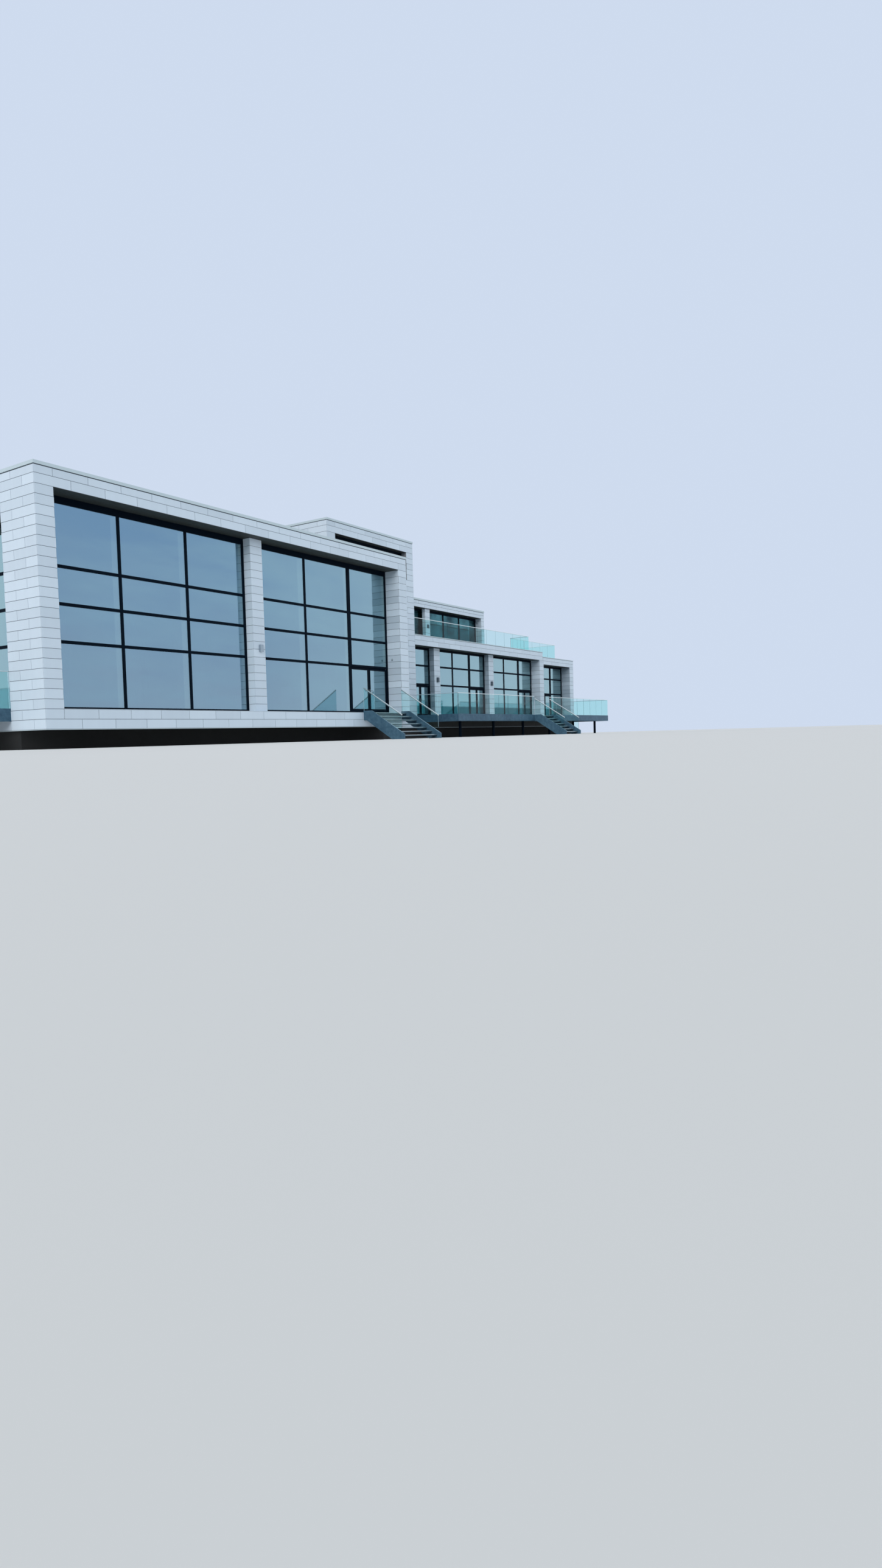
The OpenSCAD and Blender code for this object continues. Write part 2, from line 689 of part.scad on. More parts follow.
high_runs = [
    [[wing_x + cap_w / 2, front_guard_y], [corner_x, front_guard_y], band_top],
    [[corner_x, front_guard_y], [corner_x, back_line + parapet_t], band_top],
    [[corner_x, back_line + parapet_t], [corner_x, inner_guard_y], deck_z],
    [[corner_x, inner_guard_y], [step_x, inner_guard_y], deck_z],
    [[step_x, inner_guard_y], [end_guard_x, inner_guard_y], high_foot],
    [[end_guard_x, inner_guard_y], [end_guard_x, house_d - 30], high_foot],
    [[end_guard_x, house_d - 30], [upper_end + cap_w / 2, house_d - 30], high_foot]];
high_top = band_top + 455;

module short_run(r, z, top) {
    d = (r[1] - r[0]) / norm(r[1] - r[0]) * guard_t / 2;
    guard_run(r[0] + d, r[1] - d, z, top - z);
}

module guard_glass() color(teal) {
    for (r = low_runs) short_run(r, edge_top, guard_top);
    for (r = high_runs) short_run(r, r[2], high_top);
    for (x = [stair_1_x, stair_1_x + hall_stair_w - stringer_t]) translate([x, 0, 0]) stair_glass();
    for (x = [stair_2_x, stair_2_x + wing_stair_w - stringer_t]) translate([x, terrace_y, 0]) stair_glass();
}

module tube(a, b, d) {
    v = b - a;
    translate(a) rotate([0, acos(v[2] / norm(v)), atan2(v[1], v[0])]) cylinder(d = d, h = norm(v));
}

// Two caps that follow each other leave a narrow joint
cap_joint = 2;
function joined(runs, i) = i < len(runs) - 1 && norm(runs[i + 1][0] - runs[i][1]) < 1;

// A flat cap over a run of glass from a to b, ended before the next run's cap where they are joined
module cap_rail(a, b, z, joined) {
    along = (b - a) / norm(b - a);
    half = cap_w / 2;
    side = [abs(along[1]), abs(along[0])] * half;
    p = a - along * half;
    q = b + along * (joined ? -half - cap_joint : half);
    block([min(p[0], q[0]) - side[0], min(p[1], q[1]) - side[1], z],
          [max(p[0], q[0]) + side[0], max(p[1], q[1]) + side[1], z + cap_h]);
}

module cap_rails(runs, z)
    for (i = [0:len(runs) - 1]) cap_rail(runs[i][0], runs[i][1], z, joined(runs, i));

module handrails() color(steel) {
    cap_rails(low_runs, guard_top);
    cap_rails(high_runs, high_top);
    for (x = [stair_1_x, stair_1_x + hall_stair_w - stringer_t]) stair_rail(x + stringer_t / 2, 0);
    for (x = [stair_2_x, stair_2_x + wing_stair_w - stringer_t]) stair_rail(x + stringer_t / 2, terrace_y);
}

// Stairs

rail_low_y = -1015;
function rail_h_at(y) = edge_top + rail_h * 0.87 + y * slope;

// Side outline of a stringer in Y and Z, from the house outward
function stringer_outline() = [
    [0, edge_top], [-landing_l, edge_top], [-flight_l, edge_top - (flight_l - landing_l) * slope],
    [-flight_l, 0], [-(edge_top - stringer_h) / slope - landing_l + stringer_h * 0.3, 0],
    [-landing_l + stringer_h * 0.3 + 60, edge_z - 10], [0, edge_z - 10]];

module plate(points, t) {
    rotate([90, 0, 90]) linear_extrude(t) polygon(points);
}

module stair_stringers() color(slate) {
    for (x = [stair_1_x, stair_1_x + hall_stair_w - stringer_t])
        translate([x, 0, 0]) plate(stringer_outline(), stringer_t);
    for (x = [stair_2_x, stair_2_x + wing_stair_w - stringer_t])
        translate([x, terrace_y, 0]) plate(stringer_outline(), stringer_t);
}

module flight(w) {
    for (i = [0:treads - 1]) {
        back = i == 0 ? 0 : -150 - (i - 1) * going - 0.05 * going;
        block([stringer_t, -150 - i * going, floor_z - i * rise - tread_t],
              [w - stringer_t, back, floor_z - i * rise]);
    }
}

module stair_treads() color("#77838c") {
    translate([stair_1_x, 0, 0]) flight(hall_stair_w);
    translate([stair_2_x, terrace_y, 0]) flight(wing_stair_w);
}

module stair_glass() {
    translate([stringer_t / 2 - guard_t / 2, 0, 0])
        plate([[-6, edge_top], [-landing_l, edge_top],
               [rail_low_y, edge_top + (rail_low_y + landing_l) * slope],
               [rail_low_y, rail_h_at(rail_low_y)], [-6, rail_h_at(-6)]], guard_t);
}

module stair_rail(x, y) {
    lift = rail_d / 2 * norm([1, slope]) + 0.2;
    tube([x, y - rail_d / 2, rail_h_at(-rail_d / 2) + lift],
         [x, y + rail_low_y - 10, rail_h_at(rail_low_y - 10) + lift], rail_d);
}

// Wall lamps

module lamp(x, y, z) {
    block([x - lamp_w / 2, y - lamp_d, z - lamp_h / 2], [x + lamp_w / 2, y, z + lamp_h / 2]);
}

module wall_lamps() color(dark) {
    lamp(pillar_x + pier_w * 0.6, pillar_back, floor_z + hall_lamp_h);
    for (x = [pillar_1_x, pillar_2_x])
        lamp(x + pier_w * 0.5, back_line + wing_pillar_back, floor_z + wing_lamp_h);
    translate([tower_x, 240, floor_z + sensor_h]) rotate([0, -90, 0]) cylinder(d = 50, h = 30);
}

module placed() translate([-mid_x, -mid_y, 0]) children();

placed() foundation();
placed() floor_slabs();
placed() base_beams();
placed() hall_side_beam();
placed() hall_piers();
placed() hall_side_piers();
placed() hall_header();
placed() hall_side_header();
placed() hall_right_wall();
placed() hall_back_wall();
placed() tower_front_wall();
placed() tower_side_walls();
placed() tower_back_wall();
placed() wing_pillars();
placed() wing_parapet();
placed() wing_deck();
placed() end_bay_head();
placed() end_bay_wall();
placed() wing_back_wall();
placed() upper_storey_walls();
placed() roof_slabs();
placed() copings();
placed() window_frames();
placed() fanlights();
placed() door_posts();
placed() window_glass();
placed() door_pivots();
placed() terrace_decks();
placed() terrace_edges();
placed() terrace_posts();
placed() stair_stringers();
placed() stair_treads();
placed() guard_glass();
placed() handrails();
placed() wall_lamps();
placed() hall_door_left();
placed() hall_door_right();
placed() first_door_left();
placed() first_door_right();
placed() middle_door_left();
placed() middle_door_right();
placed() far_door_left();
placed() far_door_right();
placed() end_door_left();
placed() end_door_right();
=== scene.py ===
import math
import random

import bmesh
import bpy
import numpy as np
from mathutils import Matrix, Vector


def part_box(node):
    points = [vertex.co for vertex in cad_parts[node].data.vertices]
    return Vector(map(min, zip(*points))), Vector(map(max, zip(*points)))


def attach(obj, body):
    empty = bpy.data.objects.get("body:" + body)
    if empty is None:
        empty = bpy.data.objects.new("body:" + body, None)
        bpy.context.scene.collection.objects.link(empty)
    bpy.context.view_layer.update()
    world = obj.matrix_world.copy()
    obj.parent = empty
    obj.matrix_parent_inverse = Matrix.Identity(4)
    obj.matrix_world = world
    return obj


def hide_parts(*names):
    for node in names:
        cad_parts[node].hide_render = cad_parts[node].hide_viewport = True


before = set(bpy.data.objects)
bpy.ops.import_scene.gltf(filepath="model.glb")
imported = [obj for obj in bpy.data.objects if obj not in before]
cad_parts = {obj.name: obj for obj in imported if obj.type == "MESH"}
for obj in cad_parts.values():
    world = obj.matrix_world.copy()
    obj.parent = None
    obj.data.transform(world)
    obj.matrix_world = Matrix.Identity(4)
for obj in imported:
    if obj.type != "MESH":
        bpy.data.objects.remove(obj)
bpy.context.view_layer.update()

# All sizes below are millimetres of the model, counted from the hall's front left corner
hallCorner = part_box("hall_header")[0] * 1000
origin = Vector((hallCorner.x, hallCorner.y, 0))
draw = random.Random(7)

house = {"length": 22950, "depth": 6000, "under": 300, "floor": 600}
hall = {"length": 9300, "soffit": 3900, "top": 4180, "roof": 4060, "pier": 300, "recess": 375,
        "pillar": (4500, 4800), "pillarFront": 200, "sidePier": 900, "sideSoffit": 3600}
tower = {"left": 9000, "right": 12600, "front": 2100, "top": 5380, "slot": (9300, 12300, 4350, 5100),
         "window": 2250}
terrace = {"left": 12620, "under": 500}
wing = {"soffit": 2615, "bandCourse": 2600, "bandTop": 2885, "bandBack": 2300, "deck": 2850, "glazing": 2435,
        "pillars": (13800, 16950), "pillarFront": 2275, "pier": 20200, "step": 20435, "endSoffit": 2480,
        "endTop": 2720, "endRoof": 2744, "endPier": 22650, "setBack": 2800}
upper = {"front": 2150, "soffit": 3695, "top": 3880, "clear": 3940, "right": 16500, "pillar": (13290, 13520),
         "pillarFront": 2200, "pillarBack": 2300, "window": 2360, "foot": 2905, "pier": 160}


def deselect():
    if bpy.context.object and bpy.context.object.mode != "OBJECT":
        bpy.ops.object.mode_set(mode="OBJECT")
    bpy.ops.object.select_all(action="DESELECT")


def pick(piece):
    deselect()
    piece.select_set(True)
    bpy.context.view_layer.objects.active = piece


def applyPlace(piece):
    pick(piece)
    bpy.ops.object.transform_apply(location=True, rotation=True, scale=True)


# Blocks and rods are counted from the world's origin until toHouse moves them to the hall's corner
def block(name, low, high):
    low, high = Vector(low) / 1000, Vector(high) / 1000
    deselect()
    bpy.ops.mesh.primitive_cube_add(size=1, location=(low + high) / 2, scale=high - low)
    piece = bpy.context.object
    piece.name = name
    applyPlace(piece)
    return piece


def rod(name, radius, low, high, sides=24):
    low, high = Vector(low) / 1000, Vector(high) / 1000
    along = high - low
    deselect()
    bpy.ops.mesh.primitive_cylinder_add(vertices=sides, radius=radius / 1000, depth=along.length,
                                        location=(low + high) / 2,
                                        rotation=along.to_track_quat("Z", "Y").to_euler())
    piece = bpy.context.object
    piece.name = name
    applyPlace(piece)
    return piece


def selectIn(piece, kind, test):
    pick(piece)
    bpy.ops.object.mode_set(mode="EDIT")
    bpy.ops.mesh.select_mode(type=kind)
    bpy.ops.mesh.select_all(action="DESELECT")
    shape = bmesh.from_edit_mesh(piece.data)
    for item in {"VERT": shape.verts, "EDGE": shape.edges, "FACE": shape.faces}[kind]:
        if test(item):
            item.select_set(True)
    shape.select_flush_mode()
    bmesh.update_edit_mesh(piece.data)


def middle(edge):
    return (edge.verts[0].co + edge.verts[1].co) / 2


def bevelAll(piece, width, segments=2, angle=30):
    pick(piece)
    bevel = piece.modifiers.new("edge", "BEVEL")
    bevel.width = width / 1000
    bevel.segments = segments
    bevel.limit_method = "ANGLE"
    bevel.angle_limit = math.radians(angle)
    bpy.ops.object.modifier_apply(modifier=bevel.name)


def smooth(piece, angle=35):
    pick(piece)
    bpy.ops.object.shade_smooth_by_angle(angle=math.radians(angle))


def join(name, pieces):
    deselect()
    for piece in pieces:
        piece.select_set(True)
    bpy.context.view_layer.objects.active = pieces[0]
    if len(pieces) > 1:
        bpy.ops.object.join()
    pieces[0].name = name
    pieces[0].data.name = name
    return pieces[0]


def copyOf(piece, name=None):
    twin = piece.copy()
    twin.data = piece.data.copy()
    twin.name = name or piece.name
    bpy.context.scene.collection.objects.link(twin)
    return twin


def shift(piece, x, y, z):
    piece.data.transform(Matrix.Translation(Vector((x, y, z)) / 1000))
    return piece


def toHouse(piece):
    piece.data.transform(Matrix.Translation(origin / 1000))
    return piece


def dress(piece, material, body="house"):
    piece.data.materials.clear()
    piece.data.materials.append(material)
    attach(piece, body)
    return piece


# Shader maths: a wire is a socket that can be added to, taken from and multiplied
class Wire:
    def __init__(self, maker, socket):
        self.maker = maker
        self.socket = socket

    def math(self, operation, other, turned=False):
        pair = (other, self) if turned else (self, other)
        return self.maker.add("ShaderNodeMath", {"operation": operation}, {0: pair[0], 1: pair[1]})

    def __add__(self, other):
        return self.math("ADD", other)

    def __radd__(self, other):
        return self.math("ADD", other)

    def __sub__(self, other):
        return self.math("SUBTRACT", other)

    def __rsub__(self, other):
        return self.math("SUBTRACT", other, True)

    def __mul__(self, other):
        return self.math("MULTIPLY", other)

    def __rmul__(self, other):
        return self.math("MULTIPLY", other)


class Maker:
    def __init__(self, name):
        self.material = bpy.data.materials.new(name)
        self.material.use_nodes = True
        self.tree = self.material.node_tree
        self.tree.nodes.clear()
        self.place = self.add("ShaderNodeTexCoord", out="Object")

    def add(self, kind, settings=None, values=None, out=0):
        node = self.tree.nodes.new(kind)
        for key, value in (settings or {}).items():
            if key == "stops":
                ramp = node.color_ramp.elements
                for i, (position, colour) in enumerate(value):
                    element = ramp[i] if i < 2 else ramp.new(position)
                    element.position = position
                    element.color = (*colour, 1)
            else:
                setattr(node, key, value)
        for key, value in (values or {}).items():
            if isinstance(value, Wire):
                self.tree.links.new(value.socket, node.inputs[key])
            else:
                node.inputs[key].default_value = value
        return Wire(self, node.outputs[out])

    def axes(self):
        return [self.add("ShaderNodeSeparateXYZ", values={0: self.place}, out=i) for i in range(3)]

    def stretched(self, x, y, z):
        return self.add("ShaderNodeVectorMath", {"operation": "MULTIPLY"}, {0: self.place, 1: (x, y, z)})

    def noise(self, scale, detail=3.0, rough=0.5, place=None):
        return self.add("ShaderNodeTexNoise", values={"Vector": place or self.place, "Scale": scale,
                                                      "Detail": detail, "Roughness": rough})

    def mix(self, share, first, second):
        return self.add("ShaderNodeMix", {"data_type": "RGBA"}, {0: share, 6: first, 7: second}, out=2)

    def span(self, value, low, high, first, last):
        return self.add("ShaderNodeMapRange", values={"Value": value, "From Min": low, "From Max": high,
                                                      "To Min": first, "To Max": last})

    def bump(self, height, strength=0.2, distance=0.002):
        return self.add("ShaderNodeBump", values={"Height": height, "Strength": strength,
                                                  "Distance": distance})

    def finish(self, **values):
        named = {key.replace("_", " "): value for key, value in values.items()}
        shader = self.add("ShaderNodeBsdfPrincipled", values=named)
        output = self.tree.nodes.new("ShaderNodeOutputMaterial")
        self.tree.links.new(shader.socket, output.inputs["Surface"])
        return self.material


def rgb(r, g, b):
    return (r, g, b, 1)


# Materials
# Panel colours: the rain colour serves both weathering and painted shade; the deep shade colour is painted
# shade only
coatColours = {"panel": rgb(0.65, 0.745, 0.84), "rainAndShade": rgb(0.53, 0.615, 0.70),
               "deepShade": rgb(0.27, 0.335, 0.40)}


def panelCoat():
    m = Maker("panelCoat")
    toneAndShade = m.add("ShaderNodeAttribute", {"attribute_name": "toneAndShade"}, out="Fac")
    streaks = m.noise(1.0, 4.0, 0.6, m.stretched(9, 9, 0.7))
    patches = m.noise(0.8, 3.0)
    grain = m.noise(320, 2.0)
    # Streaks, patches and the random tone are weathering; a tone raised by painted shade darkens a panel
    # towards the rain colour, then past 1 towards the deep shade colour
    wornAndShaded = (streaks - 0.5) * 0.35 + (patches - 0.5) * 0.25 + toneAndShade * 0.55
    washedAndShaded = m.mix(wornAndShaded, coatColours["panel"], coatColours["rainAndShade"])
    colour = m.mix(m.span(toneAndShade, 1.0, 3.0, 0.0, 1.0), washedAndShaded, coatColours["deepShade"])
    return m.finish(Base_Color=colour, Roughness=0.48 + (grain - 0.5) * 0.2 + (streaks - 0.5) * 0.15,
                    Specular_IOR_Level=0.3, Normal=m.bump(grain, 0.08, 0.0006))


def plainStone(name, dark, light, scale, rough=0.8, strength=0.3, distance=0.002):
    m = Maker(name)
    cloud = m.noise(scale, 5.0, 0.6)
    grain = m.noise(scale * 40, 3.0)
    colour = m.mix(cloud * 0.7 + grain * 0.3, dark, light)
    return m.finish(Base_Color=colour, Roughness=rough + (grain - 0.5) * 0.15,
                    Normal=m.bump(grain, strength, distance))


def metal(name, dark, light, rough, metallic, brushed=(60, 60, 4), specular=0.5, strength=0.06):
    m = Maker(name)
    brush = m.noise(6.0, 4.0, 0.6, m.stretched(*brushed))
    cloud = m.noise(1.5, 3.0)
    colour = m.mix(brush * 0.5 + cloud * 0.5, dark, light)
    uneven = rough + (brush - 0.5) * 0.16 + (cloud - 0.5) * 0.08
    return m.finish(Base_Color=colour, Metallic=metallic, Roughness=uneven, Specular_IOR_Level=specular,
                    Normal=m.bump(brush, strength, 0.0008))


# Pane colours are painted reflections: sky and clouds, paler at grazing angles; the balustrade low on the
# wing; patchy trees in the wing's upper windows; the dark slot
glassColours = {"high": rgb(0.197, 0.350, 0.487), "low": rgb(0.268, 0.392, 0.479),
                "cloudy": rgb(0.275, 0.455, 0.535), "grazing": rgb(0.365, 0.558, 0.590),
                "teal": rgb(0.004, 0.13, 0.155), "dim": rgb(0.006, 0.045, 0.060),
                "clear": rgb(0.070, 0.225, 0.255), "dark": rgb(0.010, 0.017, 0.025)}
# Metres of the frame: where the wing starts along the house, and heights where the panes' painted reflections
# change
glassZones = {"wing": 1.8, "guardTop": 0.935, "upper": 2.83, "slot": 4.25}


def windowGlass():
    m = Maker("windowGlass")
    across, _, height = m.axes()
    waves = m.noise(0.9, 2.0)
    cloud = m.noise(0.35, 4.0, 0.6, m.stretched(1, 1, 2.2))
    smear = m.noise(3.0, 4.0, 0.6, m.stretched(1, 1, 0.3))
    facing = m.add("ShaderNodeLayerWeight", values={"Blend": 0.5}, out="Facing")
    # Painted reflection of the sky and its clouds, bluer high up and paler at grazing angles
    lower = m.span(height + (cloud - 0.5) * 2.6, 0.6, 3.6, 1.0, 0.0)
    cloudReflectionBands = m.noise(0.45, 5.0, 0.6, m.stretched(0.5, 0.5, 2.6))
    base = m.mix(m.span(cloudReflectionBands, 0.45, 0.70, 0.0, 0.6), m.mix(lower, glassColours["high"], glassColours["low"]),
                 glassColours["cloudy"])
    sky = m.mix(m.span(facing + (cloud - 0.5) * 0.15, 0.28, 0.50, 0.0, 1.0), base, glassColours["grazing"])
    onWing = m.span(across, glassZones["wing"] - 0.05, glassZones["wing"] + 0.05, 0.0, 1.0)
    guardTop = glassZones["guardTop"]
    # Painted reflections of the balustrade low on the wing and of trees in the upper windows; painted shade
    # and reflection of the dark slot
    guardReflectionZone = m.span(height, guardTop - 0.02, guardTop + 0.02, 0.9, 0.0) * onWing
    onUpper = m.span(height, glassZones["upper"], glassZones["upper"] + 0.02, 0.0, 1.0) * onWing
    inSlot = m.span(height, glassZones["slot"], glassZones["slot"] + 0.05, 0.0, 1.0)
    guardReflection = m.mix(guardReflectionZone, sky, glassColours["teal"])
    patches = m.span(m.noise(1.6, 5.0, 0.7), 0.35, 0.65, 0.0, 1.0)
    treeReflection = m.mix(onUpper, guardReflection, m.mix(patches, glassColours["dim"], glassColours["clear"]))
    return m.finish(Base_Color=m.mix(inSlot, treeReflection, glassColours["dark"]), Metallic=0.92,
                    Roughness=0.02 + smear * 0.03, Alpha=0.80, Normal=m.bump(waves, 0.012, 0.01))


slateColours = {"dark": rgb(0.034, 0.082, 0.13), "light": rgb(0.078, 0.16, 0.225)}


def slateSteel():
    m = Maker("slateSteel")
    spangle = m.noise(14.0, 5.0, 0.75)
    cloud = m.noise(2.0, 4.0)
    flecks = m.span(spangle * 0.7 + cloud * 0.3, 0.36, 0.64, 0.0, 1.0)
    return m.finish(Base_Color=m.mix(flecks, slateColours["dark"], slateColours["light"]), Metallic=0.15,
                    Roughness=0.5 + (spangle - 0.5) * 0.3, Specular_IOR_Level=0.3,
                    Normal=m.bump(spangle, 0.05, 0.001))


guardColours = {"face": rgb(0.76, 0.96, 0.945), "edge": rgb(0.52, 0.88, 0.88)}


def guardGlass():
    m = Maker("guardGlass")
    facing = m.add("ShaderNodeLayerWeight", values={"Blend": 0.5}, out="Facing")
    smear = m.noise(4.0, 4.0, 0.6, m.stretched(1, 1, 0.3))
    steep = m.span(facing, 0.5, 1.0, 0.0, 1.0)
    colour = m.mix(steep, guardColours["face"], guardColours["edge"])
    return m.finish(Base_Color=colour, Roughness=0.01 + smear * 0.03, Transmission_Weight=1.0, IOR=1.15)


liningColours = {"dim": rgb(0.44, 0.58, 0.46), "lit": rgb(0.56, 0.72, 0.58), "dark": rgb(0.60, 0.68, 0.70),
                 "light": rgb(0.70, 0.78, 0.80)}


def glowingLining():
    m = Maker("glowingLining")
    cloud = m.noise(1.2, 3.0)
    grain = m.noise(60, 2.0)
    # The glow is painted light: the linings are no lamps
    glow = m.mix(cloud, liningColours["dim"], liningColours["lit"])
    return m.finish(Base_Color=m.mix(grain, liningColours["dark"], liningColours["light"]), Roughness=0.5,
                    Emission_Color=glow, Emission_Strength=1.0, Normal=m.bump(grain, 0.05, 0.0004))


materials = {
    "panel": panelCoat(),
    "backing": plainStone("jointBacking", rgb(0.035, 0.045, 0.06), rgb(0.06, 0.072, 0.09), 2.0),
    # Near-black soffit boards: painted shade under the headers and the terrace
    "soffit": plainStone("shadedSoffitBoard", rgb(0.018, 0.022, 0.021), rgb(0.036, 0.041, 0.039), 1.2, 0.6, 0.1,
                         0.0006),
    # Mid-grey reveals: painted shade on the jambs of the tower's slot
    "reveal": plainStone("shadedSlotReveal", rgb(0.21, 0.225, 0.25), rgb(0.29, 0.305, 0.33), 2.0, 0.6, 0.1, 0.0006),
    # Near-black concrete: painted shade of the dark space under the house, on the foundation and slabs
    "concrete": plainStone("concrete", rgb(0.009, 0.010, 0.010), rgb(0.028, 0.029, 0.029), 1.1, 0.85, 0.5,
                           0.004),
    "roof": plainStone("roofGravel", rgb(0.20, 0.21, 0.215), rgb(0.42, 0.43, 0.43), 1.6, 0.9, 0.9, 0.006),
    "paving": plainStone("deckPaving", rgb(0.22, 0.245, 0.26), rgb(0.33, 0.35, 0.365), 2.2, 0.75, 0.25, 0.001),
    "coping": metal("copingMetal", rgb(0.46, 0.56, 0.60), rgb(0.58, 0.68, 0.72), 0.42, 0.15, (4, 4, 60)),
    "dark": metal("darkFrame", rgb(0.0006, 0.0035, 0.009), rgb(0.0015, 0.007, 0.015), 0.6, 0.0, (40, 40, 6),
                  0.05),
    "slate": slateSteel(),
    "steel": metal("brightSteel", rgb(0.60, 0.69, 0.69), rgb(0.78, 0.85, 0.84), 0.24, 0.9, (90, 90, 3)),
    "tread": metal("treadMetal", rgb(0.03, 0.065, 0.09), rgb(0.06, 0.105, 0.135), 0.55, 0.2, (6, 90, 90)),
    "lamp": metal("lampMetal", rgb(0.26, 0.33, 0.385), rgb(0.38, 0.46, 0.52), 0.35, 0.6, (60, 60, 8)),
    "dimLamp": metal("lampShade", rgb(0.05, 0.075, 0.095), rgb(0.09, 0.12, 0.145), 0.45, 0.3, (60, 60, 8)),
    "lever": metal("leverSteel", rgb(0.05, 0.06, 0.07), rgb(0.10, 0.115, 0.13), 0.35, 0.7, (90, 90, 3)),
    "lining": glowingLining(),
    "sensor": metal("sensorCap", rgb(0.20, 0.25, 0.28), rgb(0.30, 0.36, 0.40), 0.3, 0.1, (60, 60, 8)),
    "lens": plainStone("lampLens", rgb(0.72, 0.76, 0.78), rgb(0.82, 0.85, 0.86), 8.0, 0.35, 0.05, 0.0004),
    "rubber": plainStone("gasket", rgb(0.012, 0.013, 0.015), rgb(0.022, 0.024, 0.027), 6.0, 0.7, 0.1, 0.0004),
    "glass": windowGlass(),
    "guard": guardGlass(),
}
print("materials", len(materials))


# CAD nodes that stay and only get a finish
nodeFinish = {
    "backing": ["base_beams", "hall_side_beam", "hall_piers", "hall_side_piers", "hall_header",
                "hall_side_header", "hall_right_wall", "hall_back_wall", "tower_front_wall",
                "tower_side_walls", "tower_back_wall", "wing_pillars", "wing_parapet", "end_bay_head",
                "end_bay_wall", "wing_back_wall", "upper_storey_walls"],
    "concrete": ["foundation", "floor_slabs", "wing_deck"],
    "roof": ["roof_slabs"],
    "coping": ["copings"],
    "dark": ["window_frames", "fanlights", "door_posts", "terrace_posts"],
    "glass": ["window_glass"],
    "guard": ["guard_glass"],
    "steel": ["handrails", "door_pivots"],
    "slate": ["terrace_edges", "stair_stringers"],
    "paving": ["terrace_decks"],
}
for finish, names in nodeFinish.items():
    for name in names:
        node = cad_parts[name]
        node.data.materials.clear()
        node.data.materials.append(materials[finish])
print("finishes on the frame")


# Wall panels: one panel is modelled, then copied and cut to each place in the running bond
panel = {"length": 600, "height": 150, "joint": 6, "proud": 6, "edge": 1.2, "slim": 32, "least": 8,
         "shadow": 10, "return": (1200, 150), "endBand": (600, 120), "upperBand": (600, 95)}
# Painted shade added to the panels' tone on returns that stand in shadow: the larger, the darker
shades = {"soft": 0.7, "grey": 0.9, "deepShade": 2.0}
# Sizes of the soffit boards, the floors of the recesses and the slot's sill
boards = {"joint": 5, "hall": (1400, 187.5), "porch": (1400, 1200), "side": (1200, 1050), "wing": (950, 400),
          "end": (935, 400), "upper": (900, 400), "slot": (1500, 400)}


def makePanel():
    piece = block("panel", (0, -panel["proud"], 0), (panel["length"], 0, panel["height"]))
    selectIn(piece, "FACE", lambda face: face.normal.y < -0.9)
    bpy.ops.mesh.bevel(offset=panel["edge"] / 1000, affect="EDGES", segments=1)
    bpy.ops.object.mode_set(mode="OBJECT")
    return piece


panelModel = makePanel()
panelFaces = len(panelModel.data.polygons)
panelPoints = np.array([v.co for v in panelModel.data.vertices]) * 1000
# For each side of the house: along a panel's length, along its height, and outwards
directions = {"front": ((1, 0, 0), (0, 0, 1), (0, -1, 0)), "back": ((-1, 0, 0), (0, 0, 1), (0, 1, 0)),
              "left": ((0, -1, 0), (0, 0, 1), (-1, 0, 0)), "right": ((0, 1, 0), (0, 0, 1), (1, 0, 0)),
              "under": ((1, 0, 0), (0, -1, 0), (0, 0, -1)), "top": ((1, 0, 0), (0, 1, 0), (0, 0, 1))}


def cuts(low, high, start, step):
    first = math.floor((low - start) / step)
    marks = [start + (first + i) * step for i in range(int((high - low) / step) + 3)]
    marks = [low] + [mark for mark in marks if low + panel["slim"] < mark < high - panel["slim"]] + [high]
    return list(zip(marks, marks[1:]))


def splitRound(part, hole):
    a0, a1, b0, b1 = part
    c0, c1, d0, d1 = hole
    if c1 <= a0 or c0 >= a1 or d1 <= b0 or d0 >= b1:
        return [part]
    rest = [(a0, c0, b0, b1), (c1, a1, b0, b1), (max(a0, c0), min(a1, c1), b0, d0),
            (max(a0, c0), min(a1, c1), d1, b1)]
    return [r for r in rest if r[1] - r[0] > panel["least"] and r[3] - r[2] > panel["least"]]


